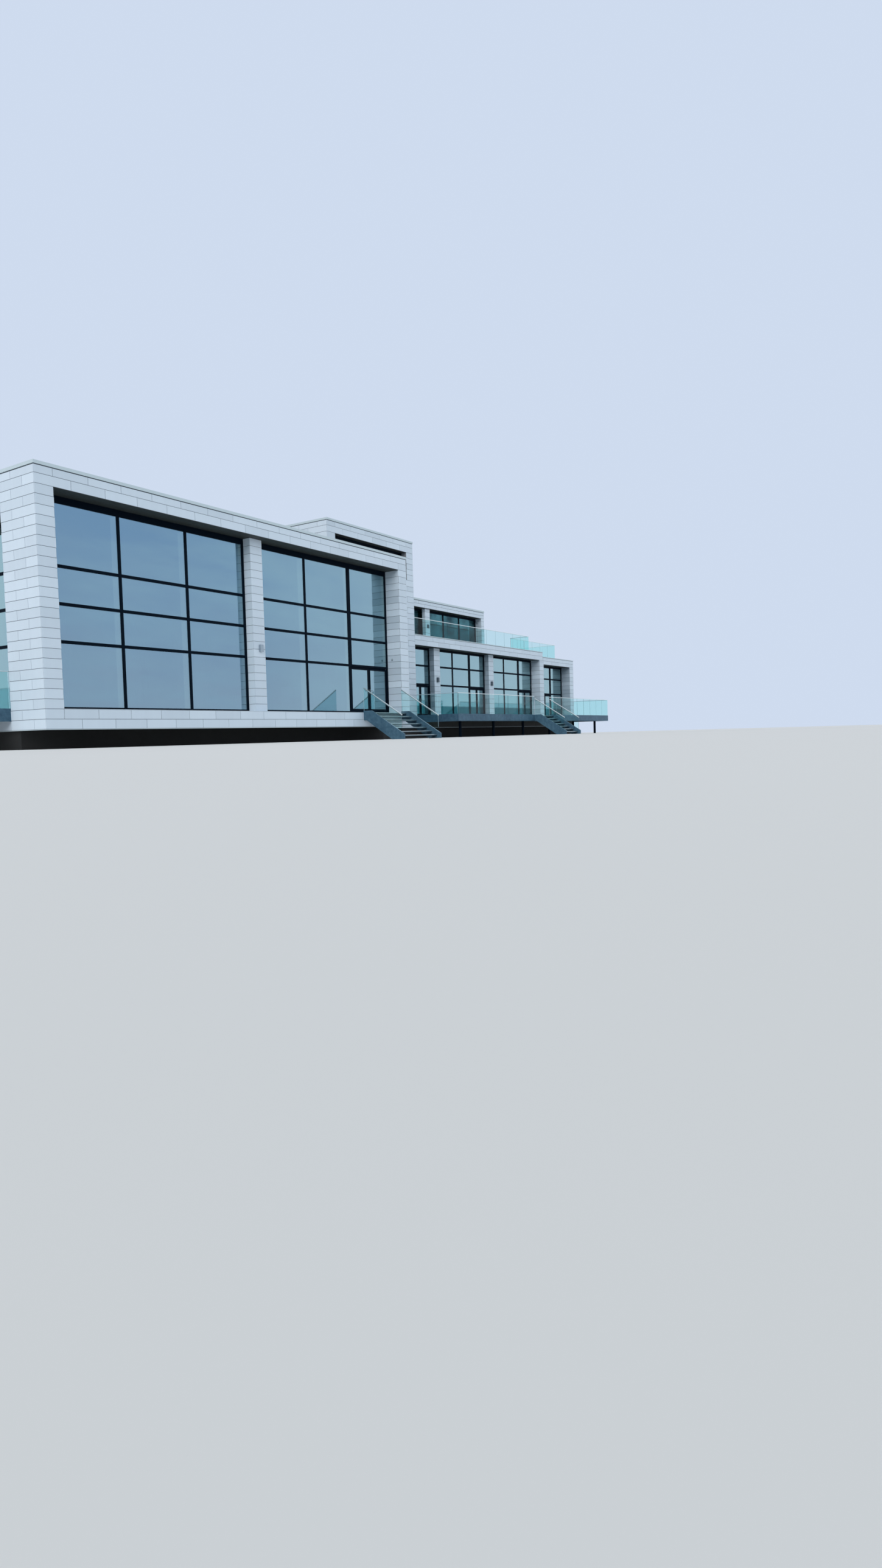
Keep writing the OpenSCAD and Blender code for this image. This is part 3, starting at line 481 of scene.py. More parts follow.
# Panels over one face: its side, its plane, its area and holes as (first, last, low, high)
def clad(facing, plane, area, holes=(), start=None, size=None, stagger=None, joint=None, shade=0.0):
    start = start or (0, house["under"])
    size = size or (panel["length"], panel["height"])
    stagger = size[0] / 2 if stagger is None else stagger
    gap = (joint or panel["joint"]) / 2
    across, up, out = (np.array(d, float) for d in directions[facing])
    first, second = int(np.argmax(np.abs(across))), int(np.argmax(np.abs(up)))
    done = []
    for low, high in cuts(area[2], area[3], start[1], size[1]):
        course = math.floor(((low + high) / 2 - start[1]) / size[1])
        odd = course % 2 == (1 if facing in ("front", "back") else 0)
        for left, right in cuts(area[0], area[1], start[0] + (stagger if odd else 0), size[0]):
            parts = [(left, right, low, high)]
            for hole in holes:
                parts = [rest for part in parts for rest in splitRound(part, hole)]
            for a0, a1, b0, b1 in parts:
                a0, a1, b0, b1 = a0 + gap, a1 - gap, b0 + gap, b1 - gap
                points = panelPoints.copy()
                points[:, 0] += np.where(points[:, 0] > panel["length"] / 2, a1 - a0 - panel["length"], 0)
                points[:, 2] += np.where(points[:, 2] > panel["height"] / 2, b1 - b0 - panel["height"], 0)
                corner = out * 0.0
                corner[np.argmax(np.abs(out))] = plane
                corner[first] = a0 if across[first] > 0 else a1
                corner[second] = b0 if up[second] > 0 else b1
                place = corner + points[:, :1] * across + points[:, 2:] * up - points[:, 1:2] * out
                twin = copyOf(panelModel)
                twin.data.vertices.foreach_set("co", ((place + np.array(origin)) / 1000).ravel())
                # Each panel's random tone, raised by any painted shade asked for
                toneAndShade = twin.data.attributes.new("toneAndShade", "FLOAT", "POINT")
                toneAndShade.data.foreach_set("value", [draw.uniform(0, 1) + shade] * len(place))
                done.append(twin)
    return done


# Sheets in straight rows, without the running bond
def rows(facing, plane, area, size, start, holes=(), joint=None):
    return clad(facing, plane, area, holes, start, size, 0, joint)


def wall(name, parts, material="panel"):
    piece = join(name, [twin for part in parts for twin in part])
    piece.data.update()
    dress(piece, materials[material])
    print("panels", name, len(piece.data.polygons) // panelFaces)
    return piece


p = panel["proud"]
s = panel["shadow"]
floorZ, underZ = house["floor"], house["under"]
hallTop, towerTop, upperTop = hall["top"] - s, tower["top"] - s, upper["top"] - s
pier, recess = hall["pier"], hall["recess"]
pillarL, pillarR = hall["pillar"]
pillarFace = hall["pillarFront"]
slotL, slotR, slotLow, slotHigh = tower["slot"]
sideNear, sideFar = hall["sidePier"], house["depth"] - hall["sidePier"]
# Heights and depths of the recesses, shared by the panels on their sides
hallOpen = (floorZ + p, hall["soffit"] - p)
sideOpen = (floorZ + p, hall["sideSoffit"] - p)
slotDeep = (tower["front"], tower["window"])
slotSide = (*slotDeep, slotLow + p, slotHigh - p)
returns, boardJoint = panel["return"], boards["joint"]

wall("hallFrontPanels", [
    clad("front", 0, (-p, hall["length"] + p, underZ, hallTop),
         [(pier + p, hall["length"] - pier - p, floorZ, hall["soffit"] - p)]),
    clad("front", pillarFace, (pillarL - p, pillarR + p, *hallOpen)),
    clad("left", pillarL, (pillarFace, recess, *hallOpen), size=returns),
    clad("right", pillarR, (pillarFace, recess, *hallOpen), size=returns),
    clad("right", pier, (0, recess, *hallOpen), size=returns),
    # The tower's jamb in the hall's recess gets painted shade
    clad("left", tower["left"], (0, recess, *hallOpen), size=returns, shade=shades["soft"]),
    rows("top", floorZ, (pier + p, tower["left"] - p, -p, recess), boards["porch"], (pier, -p),
         [(pillarL - p, pillarR + p, pillarFace - p, recess)]),
])
wall("hallSidePanels", [
    clad("left", 0, (0, house["depth"], underZ, hallTop),
         [(sideNear + p, sideFar - p, floorZ, hall["sideSoffit"] - p)]),
    clad("back", sideNear, (0, recess, *sideOpen), size=returns),
    clad("front", sideFar, (0, recess, *sideOpen), size=returns),
    clad("right", hall["length"], (0, tower["front"], underZ, hallTop)),
    rows("top", floorZ, (-p, recess, sideNear + p, sideFar - p), boards["side"], (-p, sideNear)),
])

endL, endR = wing["pier"] + pier, wing["endPier"]
glazing = wing["glazing"]
wingDeep = (tower["front"], glazing)
wingOpen = (floorZ + p, wing["soffit"] - p)
endOpen = (floorZ + p, wing["endSoffit"] - p)
wingHoles = [(x - p, x + pier + p, wing["pillarFront"] - p, glazing) for x in wing["pillars"]]
upL, upR = upper["pillar"]
upperPier = upper["right"] - upper["pier"]
upperOpen = (upper["foot"], upper["soffit"] - p)
# Soffit boards and the wing's foot panels under the terrace take the near-black soffit finish, which paints
# their shade
wall("soffitBoards", [
    rows("under", hall["soffit"], (pier + p, tower["left"] - p, 0, recess), boards["hall"], (pier, 0),
         [(pillarL - p, pillarR + p, pillarFace - p, recess)], boardJoint),
    rows("under", hall["sideSoffit"], (0, recess, sideNear + p, sideFar - p), boards["side"], (0, sideNear),
         joint=boardJoint),
    rows("under", wing["soffit"], (tower["right"] + p, wing["pier"] - p, *wingDeep), boards["wing"],
         (tower["right"], tower["front"]), wingHoles, boardJoint),
    rows("under", wing["endSoffit"], (endL + p, endR - p, *wingDeep), boards["end"], (endL, tower["front"]),
         joint=boardJoint),
    rows("under", upper["soffit"], (tower["right"] + p, upperPier - p, upper["front"], upper["window"]),
         boards["upper"], (tower["right"], upper["front"]),
         [(upL - p, upR + p, upper["pillarFront"] - p, upper["pillarBack"] + p)], boardJoint),
    rows("under", slotHigh, (slotL + p, slotR - p, *slotDeep), boards["slot"], (slotL, tower["front"]),
         joint=boardJoint),
    clad("front", tower["front"], (terrace["left"], house["length"] + p, underZ, terrace["under"])),
], "soffit")

# The slot's jambs take the grey reveal finish, which paints their shade
wall("slotReveals", [
    clad("right", slotL, slotSide, size=returns),
    clad("left", slotR, slotSide, size=returns),
], "reveal")
wall("towerPanels", [
    clad("front", tower["front"], (hall["length"] + p, tower["right"] + p, floorZ, hall["top"])),
    clad("front", tower["front"], (tower["left"] - p, tower["right"] + p, hall["top"], towerTop),
         [(slotL + p, slotR - p, slotLow + p, slotHigh - p)]),
    rows("top", slotLow, (slotL + p, slotR - p, *slotDeep), boards["slot"], (slotL, tower["front"])),
    clad("left", tower["left"], (tower["front"], house["depth"], hall["roof"], towerTop)),
    clad("right", tower["right"], (*wingDeep, *wingOpen)),
    clad("right", tower["right"], (tower["front"], upper["front"], upper["foot"], upper["clear"])),
    clad("right", tower["right"], (upper["front"], upper["window"], *upperOpen)),
    clad("right", tower["right"], (tower["front"], house["depth"], upper["clear"], towerTop)),
    clad("front", tower["front"], (hall["length"] + p, terrace["left"], underZ, floorZ)),
])

halfPanel = panel["length"] / 2
bandTop, endTop, wallTop = wing["bandTop"] - p, wing["endTop"] - p, wing["deck"] - p
endRoof = wing["endRoof"]
wingFaces = [
    clad("front", tower["front"], (tower["right"] + p, wing["step"] + p, wing["soffit"] - p, bandTop),
         start=(tower["right"], wing["bandCourse"])),
    clad("front", tower["front"], (wing["pier"] - p, endL + p, *wingOpen),
         start=(wing["pier"] - halfPanel, underZ)),
    clad("front", tower["front"], (endR - p, house["length"] + p, *endOpen), start=(endR, underZ)),
    clad("front", tower["front"], (wing["step"] + p, house["length"] + p, wing["endSoffit"] - p, endTop),
         [(wing["step"], endL + p, wing["endSoffit"] - p, wing["soffit"] - p)],
         start=(endL, wing["endSoffit"]), size=panel["endBand"]),
    clad("right", wing["step"], (tower["front"], wing["bandBack"], endRoof, bandTop), start=(0, endRoof)),
    rows("top", floorZ, (tower["right"] + p, wing["pier"] - p, *wingDeep), boards["wing"],
         (tower["right"], tower["front"]), wingHoles),
    rows("top", floorZ, (endL + p, endR - p, *wingDeep), boards["end"], (endL, tower["front"])),
    # The wing pier's and the end bay's left-facing returns get painted shade
    clad("left", wing["pier"], (*wingDeep, *wingOpen), size=returns, shade=shades["grey"]),
    clad("right", endL, (*wingDeep, *endOpen), size=returns),
    clad("left", endR, (*wingDeep, *endOpen), size=returns, shade=shades["deepShade"]),
    clad("right", house["length"], (tower["front"], house["depth"], underZ, endTop)),
    clad("front", wing["setBack"], (wing["step"], house["length"] + p, endRoof, wallTop), start=(0, endRoof)),
    clad("right", house["length"], (wing["setBack"], house["depth"], endRoof, wallTop), start=(0, endRoof)),
]
for x in wing["pillars"]:
    pillarDeep = (wing["pillarFront"], glazing)
    wingFaces += [
        clad("front", wing["pillarFront"], (x - p, x + pier + p, *wingOpen), start=(x - halfPanel, underZ)),
        # The pillars' left-facing returns get painted shade
        clad("left", x, (*pillarDeep, *wingOpen), size=returns, shade=shades["deepShade"]),
        clad("right", x + pier, (*pillarDeep, *wingOpen), size=returns),
    ]
wall("wingPanels", wingFaces)

upperPillarSide = (upper["pillarFront"], upper["pillarBack"], *upperOpen)
wall("upperPanels", [
    clad("front", upper["front"], (tower["right"] + p, upper["right"] + p, upper["soffit"] - p, upperTop),
         start=(tower["right"], upper["soffit"] - p), size=panel["upperBand"]),
    clad("front", upper["front"], (upperPier - p, upper["right"] + p, *upperOpen),
         start=(upper["right"] - panel["length"], underZ)),
    # The upper pier's left-facing return gets painted shade
    clad("left", upperPier, (upper["front"], upper["window"], *upperOpen), size=returns, shade=shades["grey"]),
    clad("front", upper["pillarFront"], (upL - p, upR + p, *upperOpen), start=(upL - halfPanel, underZ)),
    clad("left", upL, upperPillarSide, size=returns),
    clad("right", upR, upperPillarSide, size=returns),
    clad("right", upper["right"], (upper["front"], house["depth"], upper["foot"], upperTop)),
])

# Back windows: first wall end, last wall end, sills, width, height, count
backRows = {"hall": (525, tower["left"], [900], 1200, 2400, 4),
            "tower": (tower["left"], tower["right"], [900, 4350], 1200, 750, 2),
            "wing": (tower["right"], house["length"], [900], 1200, 1300, 5),
            "upper": (tower["right"], upper["right"], [3000], 1200, 600, 2)}


def backHoles(row):
    first, last, sills, width, height, count = backRows[row]
    lefts = [first + (last - first) / count * (i + 0.5) - width / 2 for i in range(count)]
    return [(x, x + width, z, z + height) for x in lefts for z in sills]


back = house["depth"]
wall("backPanels", [
    clad("back", back, (-p, tower["left"], underZ, hallTop), backHoles("hall")),
    clad("back", back, (tower["left"] - p, tower["right"] + p, hall["top"], towerTop), backHoles("tower")),
    clad("back", back, (tower["left"], tower["right"], underZ, hall["top"]), backHoles("tower")),
    clad("back", back, (tower["right"], house["length"] + p, underZ, wallTop), backHoles("wing")),
    clad("back", back, (tower["right"] + p, upper["right"] + p, wallTop, upperTop), backHoles("upper")),
])

# Pale linings on the inner bars of the hall's front windows, seen through the glass; they glow with painted
# light standing in for the lit room
bars = {"wide": 50, "glassBack": 30, "deep": 94, "fin": 160, "head": 115, "joint": 2, "doorLeft": 7625,
        "doorHead": 1635, "firstBay": (1700, 3100), "secondBay": (6200,), "levels": (1660, 2245, 2825)}
levels = (*bars["levels"], hall["soffit"])
windows = [((pier, *bars["firstBay"], pillarL), (floorZ, *levels)),
           ((pillarR, *bars["secondBay"], bars["doorLeft"]), (floorZ, *levels)),
           ((bars["doorLeft"], tower["left"]), (bars["doorHead"], *levels[1:]))]
whole = (9000, 9000)  # longer than any bar, so that a lining is one sheet


def linings(xs, zs):
    done = []
    wide, half, front = bars["wide"], bars["wide"] / 2, recess + bars["glassBack"]
    for j in range(len(zs) - 1):
        low = zs[j] + (wide if j == 0 else half)
        high = zs[j + 1] - (bars["head"] if j == len(zs) - 2 else half)
        for i, x in enumerate(xs):
            inner = 0 < i < len(xs) - 1
            back = recess + (bars["fin"] if inner else bars["deep"])
            beside = half if inner else wide
            if i > 0:
                done += rows("left", x - beside, (front, back, low, high), whole, (0, 0), joint=bars["joint"])
            if i < len(xs) - 1:
                done += rows("right", x + beside, (front, back, low, high), whole, (0, 0), joint=bars["joint"])
            if inner:
                done += rows("back", back, (x - half - p, x + half + p, low, high), whole, (0, 0),
                             joint=bars["joint"])
    return done


wall("windowLinings", [linings(*window) for window in windows], "lining")

# Paving on the terraces and the upper deck: height, then first and last of x and of y
paver = {"size": (300, 300), "joint": 5}
paved = [(floorZ, (12632, 22918, 757, 2094)), (floorZ, (-1343, -8, 932, 5068)),
         (wing["deck"], (16510, 20430, 2305, 5870)), (wing["deck"], (20440, 22824, 2925, 5870)),
         (wing["deck"], (12610, 16330, 2305, 2355))]
wall("terracePavers", [
    rows("top", height, area, paver["size"], (area[0], area[2]), joint=paver["joint"])
    for height, area in paved
], "paving")
bpy.data.objects.remove(panelModel)


# A bright drip edge under the lowest panels
drip = {"out": 10, "drop": 11, "lip": 1.5}


def dripEdge(name, runs):
    pieces = []
    for x0, y0, x1, y1 in runs:
        piece = block(name, (x0, y0, underZ - drip["drop"]), (x1, y1, underZ))
        selectIn(piece, "FACE", lambda face: face.normal.z < -0.9)
        bpy.ops.mesh.inset(thickness=drip["lip"] / 1000)
        bpy.ops.transform.translate(value=(0, 0, drip["lip"] / 1000))
        bpy.ops.object.mode_set(mode="OBJECT")
        pieces.append(toHouse(piece))
    return dress(join(name, pieces), materials["coping"])


dripOut, hallEnd, wingEnd, wingFront = drip["out"], hall["length"], house["length"], tower["front"]
dripEdge("dripEdge", [(-dripOut, -dripOut, hallEnd + dripOut, 0), (-dripOut, 0, 0, back + dripOut),
                      (hallEnd, 0, hallEnd + dripOut, wingFront - dripOut),
                      (hallEnd + dripOut, wingFront - dripOut, wingEnd + dripOut, wingFront),
                      (wingEnd, wingFront, wingEnd + dripOut, back + dripOut),
                      (0, back, wingEnd, back + dripOut)])
print("drip edge")


# Door leaves: frame with its glazing bead, sheet of glass and lever handles, each riding on its own body
leafSizes = {"thick": 30, "gap": 6, "setIn": 12, "stile": 45, "rail": 90, "glass": 12, "glassGap": 2,
             "bead": 8, "beadThick": 18, "beadLap": 1, "round": 1.5, "heelShare": 0.999}
leverSizes = {"high": 510, "long": 65, "thick": 10, "out": 25, "plateWide": 24, "plateHigh": 110,
              "plateThick": 4, "plateDrop": 0.7, "round": 2}
# Left, right, front of the frame and head of each double door
doors = {"hall": (bars["doorLeft"], 8950, recess, bars["doorHead"]), "first": (12875, 13750, glazing, 1525),
         "middle": (16025, 16900, glazing, 1525), "far": (19241.667, 20150, glazing, 1525),
         "end": (20805, 21690, glazing, 1445)}


# A frame with a wider bottom rail: both faces inset, the lower inner edges raised, then bridged through
def ringBlock(name, low, high, stile, bottom):
    piece = block(name, low, high)
    selectIn(piece, "FACE", lambda face: abs(face.normal.y) > 0.9)
    bpy.ops.mesh.inset(thickness=stile / 1000, use_individual=True)
    edge = (low[2] + stile) / 1000
    selectIn(piece, "VERT", lambda v: abs(v.co.z - edge) < 0.0005
             and low[0] / 1000 + 0.01 < v.co.x < high[0] / 1000 - 0.01)
    bpy.ops.transform.translate(value=(0, 0, (bottom - stile) / 1000))
    left, right = (low[0] + stile) / 1000, (high[0] - stile) / 1000
    selectIn(piece, "FACE", lambda face: abs(face.normal.y) > 0.9
             and all(left - 0.001 < v.co.x < right + 0.001 for v in face.verts)
             and all(v.co.z > low[2] / 1000 + 0.001 and v.co.z < high[2] / 1000 - 0.001 for v in face.verts))
    bpy.ops.mesh.bridge_edge_loops()
    bpy.ops.object.mode_set(mode="OBJECT")
    return piece


def makeLever(name, x, half):
    high, out, plate = leverSizes["high"], leverSizes["out"], leverSizes["plateThick"]
    wide, tall, radius = leverSizes["plateWide"] / 2, leverSizes["plateHigh"], leverSizes["thick"] / 2
    foot = high - leverSizes["plateDrop"] * tall
    pieces = []
    for turn in (-1, 1):
        face, y = turn * half, turn * (half + plate + out)
        back = block("plate", (x - wide, min(face, face + turn * plate), foot),
                     (x + wide, max(face, face + turn * plate), foot + tall))
        bevelAll(back, 1.5, 2)
        stem = rod("stem", radius, (x, face, high), (x, y + turn * radius, high), 20)
        handle = rod("handle", radius, (x, y, high), (x - leverSizes["long"], y, high), 20)
        selectIn(handle, "FACE", lambda f: f.normal.x < -0.9)
        bpy.ops.mesh.bevel(offset=leverSizes["round"] / 1000, affect="EDGES", segments=3)
        bpy.ops.object.mode_set(mode="OBJECT")
        pieces += [back, stem, handle]
    lever = join(name, pieces)
    smooth(lever)
    return lever


# The mirrored leaf of a pair, with its faces turned outwards again
def mirror(piece):
    piece.data.transform(Matrix.Scale(-1, 4, (1, 0, 0)))
    pick(piece)
    bpy.ops.object.mode_set(mode="EDIT")
    bpy.ops.mesh.select_all(action="SELECT")
    bpy.ops.mesh.normals_make_consistent(inside=False)
    bpy.ops.object.mode_set(mode="OBJECT")


def makeLeaf(door, side):
    x0, x1, y, head = doors[door]
    name = door + "Door" + side
    thick, gap, stile, rail = (leafSizes[key] for key in ("thick", "gap", "stile", "rail"))
    half = thick / 2
    width = (x1 - x0 - 3 * gap) / 2 - half
    height = head - floorZ - 2 * gap
    leafFrame = ringBlock(name + "Frame", (-half, -half, 0), (width, half, height), stile, rail)
    selectIn(leafFrame, "EDGE", lambda edge: abs(edge.verts[0].co.z - edge.verts[1].co.z) > height / 2000
             and middle(edge).x < -half / 1000 + 0.0005)
    bpy.ops.mesh.bevel(offset=half * leafSizes["heelShare"] / 1000, affect="EDGES", segments=6)
    bpy.ops.object.mode_set(mode="OBJECT")
    bevelAll(leafFrame, leafSizes["round"], 2, 40)
    smooth(leafFrame)
    left, right, low, high = stile - half, width - stile, rail, height - stile
    lap, beadHalf = leafSizes["beadLap"], leafSizes["beadThick"] / 2
    bead = ringBlock(name + "Bead", (left - lap, -beadHalf, low - lap), (right + lap, beadHalf, high + lap),
                     leafSizes["bead"], leafSizes["bead"])
    bevelAll(bead, 1.2, 1, 40)
    clear, glassHalf = leafSizes["glassGap"], leafSizes["glass"] / 2
    pane = block(name + "Glass", (left + clear, -glassHalf, low + clear),
                 (right - clear, glassHalf, high - clear))
    bevelAll(pane, 1.0, 1)
    lever = makeLever(name + "Lever", width - stile / 2, half)
    node = f"{door}_door_{side.lower()}"
    heel = x0 + gap + half if side == "Left" else x1 - gap - half
    pieces = [(leafFrame, "dark", "door_leaves"), (bead, "rubber", "door_leaves"),
              (pane, "glass", "window_glass"), (lever, "lever", "bright_steel")]
    for piece, material, slot in pieces:
        if side == "Right":
            mirror(piece)
        toHouse(shift(piece, heel, y + leafSizes["setIn"] + half, floorZ + gap))
        dress(piece, materials[material], node)
    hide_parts(node)


for door in doors:
    for side in ("Left", "Right"):
        makeLeaf(door, side)
print("door leaves")


# Stair treads: a plate hollow below, with ribs across it and a bright nosing
treadSizes = {"count": 7, "going": 140, "first": 150, "thick": 25, "lap": 7, "inside": 40, "sunk": 1.5,
              "rim": 6, "hollow": 12, "nosing": 16, "nosingHigh": 7, "ribWide": 6.4, "ribHigh": 2,
              "ribPitch": 12, "ribEnd": 12}
# Left side, width and front of the landing
flights = {"hall": (7550, 1450, 0), "wing": (17075, 1075, 725)}


def makeTread(name, x0, x1, front, back, top):
    plate = block(name, (x0, front, top - treadSizes["thick"]), (x1, back, top - treadSizes["sunk"]))
    selectIn(plate, "FACE", lambda face: face.normal.z < -0.9)
    bpy.ops.mesh.inset(thickness=treadSizes["rim"] / 1000)
    bpy.ops.transform.translate(value=(0, 0, treadSizes["hollow"] / 1000))
    bpy.ops.object.mode_set(mode="OBJECT")
    bevelAll(plate, 1.0, 1)
    ribs = []
    end, half = treadSizes["ribEnd"], treadSizes["ribWide"] / 2
    deep = back - front - treadSizes["nosing"]
    count = int(deep / treadSizes["ribPitch"])
    for i in range(count):
        y = front + treadSizes["nosing"] + (i + 0.5) * deep / count
        rib = block("rib", (x0 + end, y - half, top - treadSizes["ribHigh"]), (x1 - end, y + half, top))
        selectIn(rib, "FACE", lambda face: face.normal.z > 0.9)
        bpy.ops.mesh.inset(thickness=0.001)
        bpy.ops.object.mode_set(mode="OBJECT")
        ribs.append(rib)
    return toHouse(join(name, [plate] + ribs))


def makeNosing(name, x0, x1, front, top):
    piece = block(name, (x0, front - 1, top - treadSizes["nosingHigh"]),
                  (x1, front + treadSizes["nosing"], top))
    selectIn(piece, "EDGE", lambda edge: middle(edge).y < front / 1000 and middle(edge).z > top / 1000 - 0.001)
    bpy.ops.mesh.bevel(offset=0.004, affect="EDGES", segments=3)
    bpy.ops.object.mode_set(mode="OBJECT")
    return toHouse(piece)


for flight, (x, width, y) in flights.items():
    plates, nosings = [], []
    left, right = x + treadSizes["inside"], x + width - treadSizes["inside"]
    for i in range(treadSizes["count"]):
        top = floorZ - i * floorZ / treadSizes["count"]
        front = y - treadSizes["first"] - i * treadSizes["going"]
        rear = y if i == 0 else front + treadSizes["going"] - treadSizes["lap"]
        plates.append(makeTread(flight + "Tread", left, right, front, rear, top))
        nosings.append(makeNosing(flight + "Nosing", left, right, front, top))
    treadPiece = dress(join(flight + "Treads", plates), materials["tread"])
    dress(join(flight + "Nosings", nosings), materials["steel"])
    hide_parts("stair_treads")
print("stair treads")


# Wall lamps on the pillars, a small lamp box on the upper one, and two round sensors on the jambs
lampSizes = {"wide": 85, "high": 145, "deep": 55, "plate": 6, "side": 3, "end": 4, "round": 12,
             "stemHalf": (8, 20)}
lensSizes = {"half": 28, "front": 8, "back": 16, "low": 71, "high": 67}
boxSizes = {"half": 40, "deep": 30, "halfHigh": 50}
sensorSizes = {"base": 25, "thick": 10, "dome": 19, "cut": 9}
lampSpots = [(4680, pillarFace, 1820)] + [(x + pier / 2, wing["pillarFront"], 1690) for x in wing["pillars"]]
boxSpot = ((upL + upR) / 2, upper["pillarFront"] - p, 3190)
sensorSpots = [(tower["left"], 240, 1850), (upperPier - p, 2294, 3556)]


def makeLamp():
    w, h, d, thick = lampSizes["wide"] / 2, lampSizes["high"] / 2, lampSizes["deep"], lampSizes["plate"]
    side, end = lampSizes["side"], lampSizes["end"]
    plate = block("lampPlate", (-w, -thick, -h), (w, 0, h))
    bevelAll(plate, 2, 2)
    body = block("lampBody", (-w + side, -d, -h + end), (w - side, -thick - 2, h - end))
    selectIn(body, "EDGE", lambda edge: middle(edge).y < -0.04
             and abs(edge.verts[0].co.z - edge.verts[1].co.z) > 0.05)
    bpy.ops.mesh.bevel(offset=lampSizes["round"] / 1000, affect="EDGES", segments=5)
    selectIn(body, "FACE", lambda face: abs(face.normal.z) > 0.9)
    bpy.ops.mesh.inset(thickness=0.004, use_individual=True)
    bpy.ops.object.mode_set(mode="OBJECT")
    bevelAll(body, 1, 1, 50)
    stemWide, stemHigh = lampSizes["stemHalf"]
    stem = block("lampStem", (-stemWide, -thick - 3, -stemHigh), (stemWide, -thick + 1, stemHigh))
    return join("lamp", [body, plate, stem])


lampModel = makeLamp()
smooth(lampModel)
lamps = [toHouse(shift(copyOf(lampModel, "lamp"), *spot)) for spot in lampSpots]
box = block("lampBox", (-boxSizes["half"], -boxSizes["deep"], -boxSizes["halfHigh"]),
            (boxSizes["half"], 0, boxSizes["halfHigh"]))
bevelAll(box, 4, 3)
deckLamp = toHouse(shift(box, *boxSpot))
lensModel = block("lampLens", (-lensSizes["half"], lensSizes["front"] - lampSizes["deep"], -lensSizes["low"]),
                  (lensSizes["half"], -lensSizes["back"], -lensSizes["high"]))
bevelAll(lensModel, 1.5, 2)
lenses = [toHouse(shift(copyOf(lensModel, "lens"), *spot)) for spot in lampSpots]
bpy.data.objects.remove(lampModel)
bpy.data.objects.remove(lensModel)
lampPiece = dress(join("wallLamps", lamps[:1]), materials["lamp"])
dress(join("wingLamps", lamps[1:] + [deckLamp]), materials["dimLamp"])
dress(join("lampLenses", lenses), materials["lens"])


def makeSensor(spot):
    thick, dome = sensorSizes["thick"], sensorSizes["dome"]
    base = rod("sensorBase", sensorSizes["base"], (0, 0, 0), (-thick, 0, 0), 32)
    bevelAll(base, 2, 2)
    deselect()
    bpy.ops.mesh.primitive_uv_sphere_add(segments=32, ring_count=16, radius=dome / 1000,
                                         location=(-thick / 1000, 0, 0))
    cap = bpy.context.object
    applyPlace(cap)
    pick(cap)
    bpy.ops.object.mode_set(mode="EDIT")
    bpy.ops.mesh.select_all(action="SELECT")
    bpy.ops.mesh.bisect(plane_co=(-sensorSizes["cut"] / 1000, 0, 0), plane_no=(1, 0, 0), clear_outer=True,
                        use_fill=True)
    bpy.ops.object.mode_set(mode="OBJECT")
    sensor = join("sensor", [base, cap])
    smooth(sensor)
    return toHouse(shift(sensor, *spot))


sensors = [makeSensor(spot) for spot in sensorSpots]
dress(join("sensor", sensors), materials["sensor"])
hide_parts("wall_lamps")
print("lamps")


# Camera, at the place and angle of the photograph
view = {"place": (-18.5291, -14.5571, 0.0352), "right": (0.5500161219, -0.8347178795, -0.0269875377),
        "down": (-0.0598276971, -0.0071493538, -0.9981831162),
        "ahead": (0.8330083507, 0.5506314088, -0.0538715083),
        "focalPixels": 1450.436, "framePixels": 2576, "sensor": 36, "near": 0.01, "far": 2000}
cameraData = bpy.data.cameras.new("camera")
cameraData.lens = view["focalPixels"] / view["framePixels"] * view["sensor"]
cameraData.sensor_width = view["sensor"]
cameraData.clip_start = view["near"]
cameraData.clip_end = view["far"]
camera = bpy.data.objects.new("camera", cameraData)
bpy.context.scene.collection.objects.link(camera)
columns = [Vector(view["right"]), -Vector(view["down"]), -Vector(view["ahead"])]
camera.matrix_world = Matrix.Translation(view["place"]) @ Matrix(columns).transposed().to_4x4()
bpy.context.scene.camera = camera

# Floor and light
stage = {"floor": 600, "paper": (rgb(0.80, 0.79, 0.77), rgb(0.84, 0.83, 0.81)), "sky": rgb(0.62, 0.71, 0.86),
         "mirrored": rgb(0.90, 0.95, 1.08), "fill": rgb(0.58, 0.66, 0.75), "strength": 0.64}
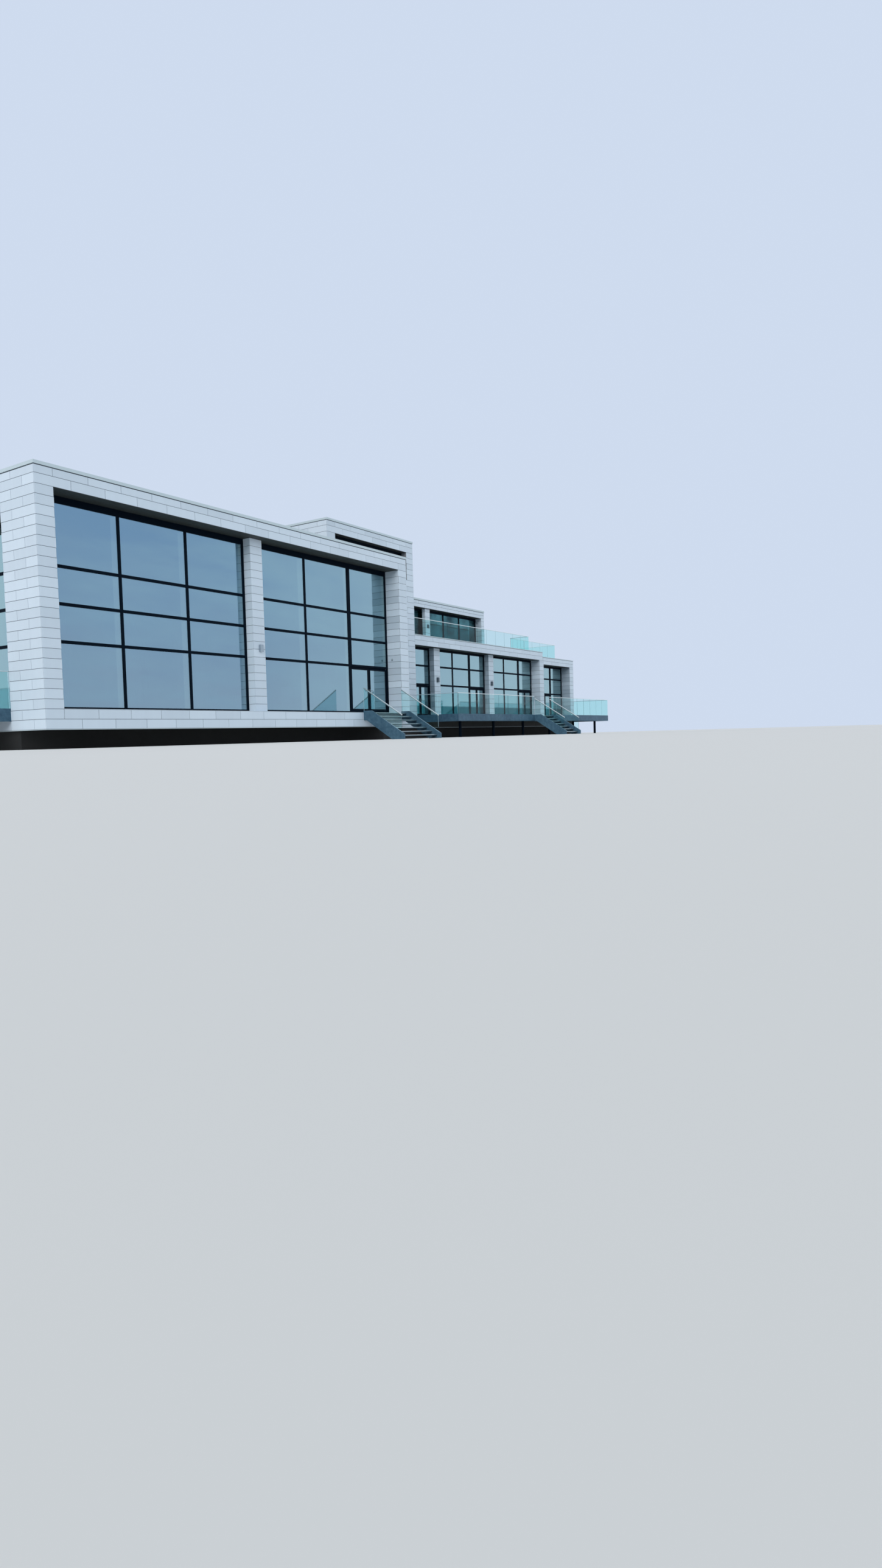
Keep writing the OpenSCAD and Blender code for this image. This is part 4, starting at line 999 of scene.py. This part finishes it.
# Towards the light, strength, angle in degrees, colour
suns = {"key": ((-0.86, -0.22, 0.46), 1.74, 40, (1.0, 0.985, 0.96)),
        "fill": ((0.25, -0.8, 0.5), 0.62, 60, (0.9, 0.97, 1.0))}


def floorPaper():
    m = Maker("floorPaper")
    return m.finish(Base_Color=m.mix(m.noise(0.15, 3.0), *stage["paper"]), Roughness=0.9)


deselect()
bpy.ops.mesh.primitive_plane_add(size=stage["floor"], location=(0, 0, 0))
floor = bpy.context.object
floor.name = "floor"
floor.data.materials.append(floorPaper())


def sun(name, toward, strength, angle, colour):
    data = bpy.data.lights.new(name, "SUN")
    data.energy = strength
    data.angle = math.radians(angle)
    data.color = colour
    lamp = bpy.data.objects.new(name, data)
    bpy.context.scene.collection.objects.link(lamp)
    lamp.rotation_euler = Vector(toward).to_track_quat("Z", "Y").to_euler()
    lamp.visible_glossy = False


for name, settings in suns.items():
    sun(name, *settings)

# The sky as seen directly or through glass is darker than the one that the panes mirror
world = bpy.data.worlds.new("studio")
bpy.context.scene.world = world
world.use_nodes = True
tree = world.node_tree
tree.nodes.clear()
path = tree.nodes.new("ShaderNodeLightPath")
seen = tree.nodes.new("ShaderNodeMath")
seen.operation = "MAXIMUM"
tree.links.new(path.outputs["Is Camera Ray"], seen.inputs[0])
tree.links.new(path.outputs["Is Transmission Ray"], seen.inputs[1])


def background(colour, strength=1.0):
    node = tree.nodes.new("ShaderNodeBackground")
    node.inputs["Color"].default_value = colour
    node.inputs["Strength"].default_value = strength
    return node


def mixed(share, first, second):
    node = tree.nodes.new("ShaderNodeMixShader")
    for i, socket in enumerate((share, first.outputs[0], second.outputs[0])):
        tree.links.new(socket, node.inputs[i])
    return node


fill = background(stage["fill"], stage["strength"])
lit = mixed(path.outputs["Is Glossy Ray"], fill, background(stage["mirrored"]))
shown = mixed(seen.outputs[0], lit, background(stage["sky"]))
outWorld = tree.nodes.new("ShaderNodeOutputWorld")
tree.links.new(shown.outputs[0], outWorld.inputs["Surface"])
bpy.context.scene.view_settings.view_transform = "Standard"
print("camera and light")

deselect()
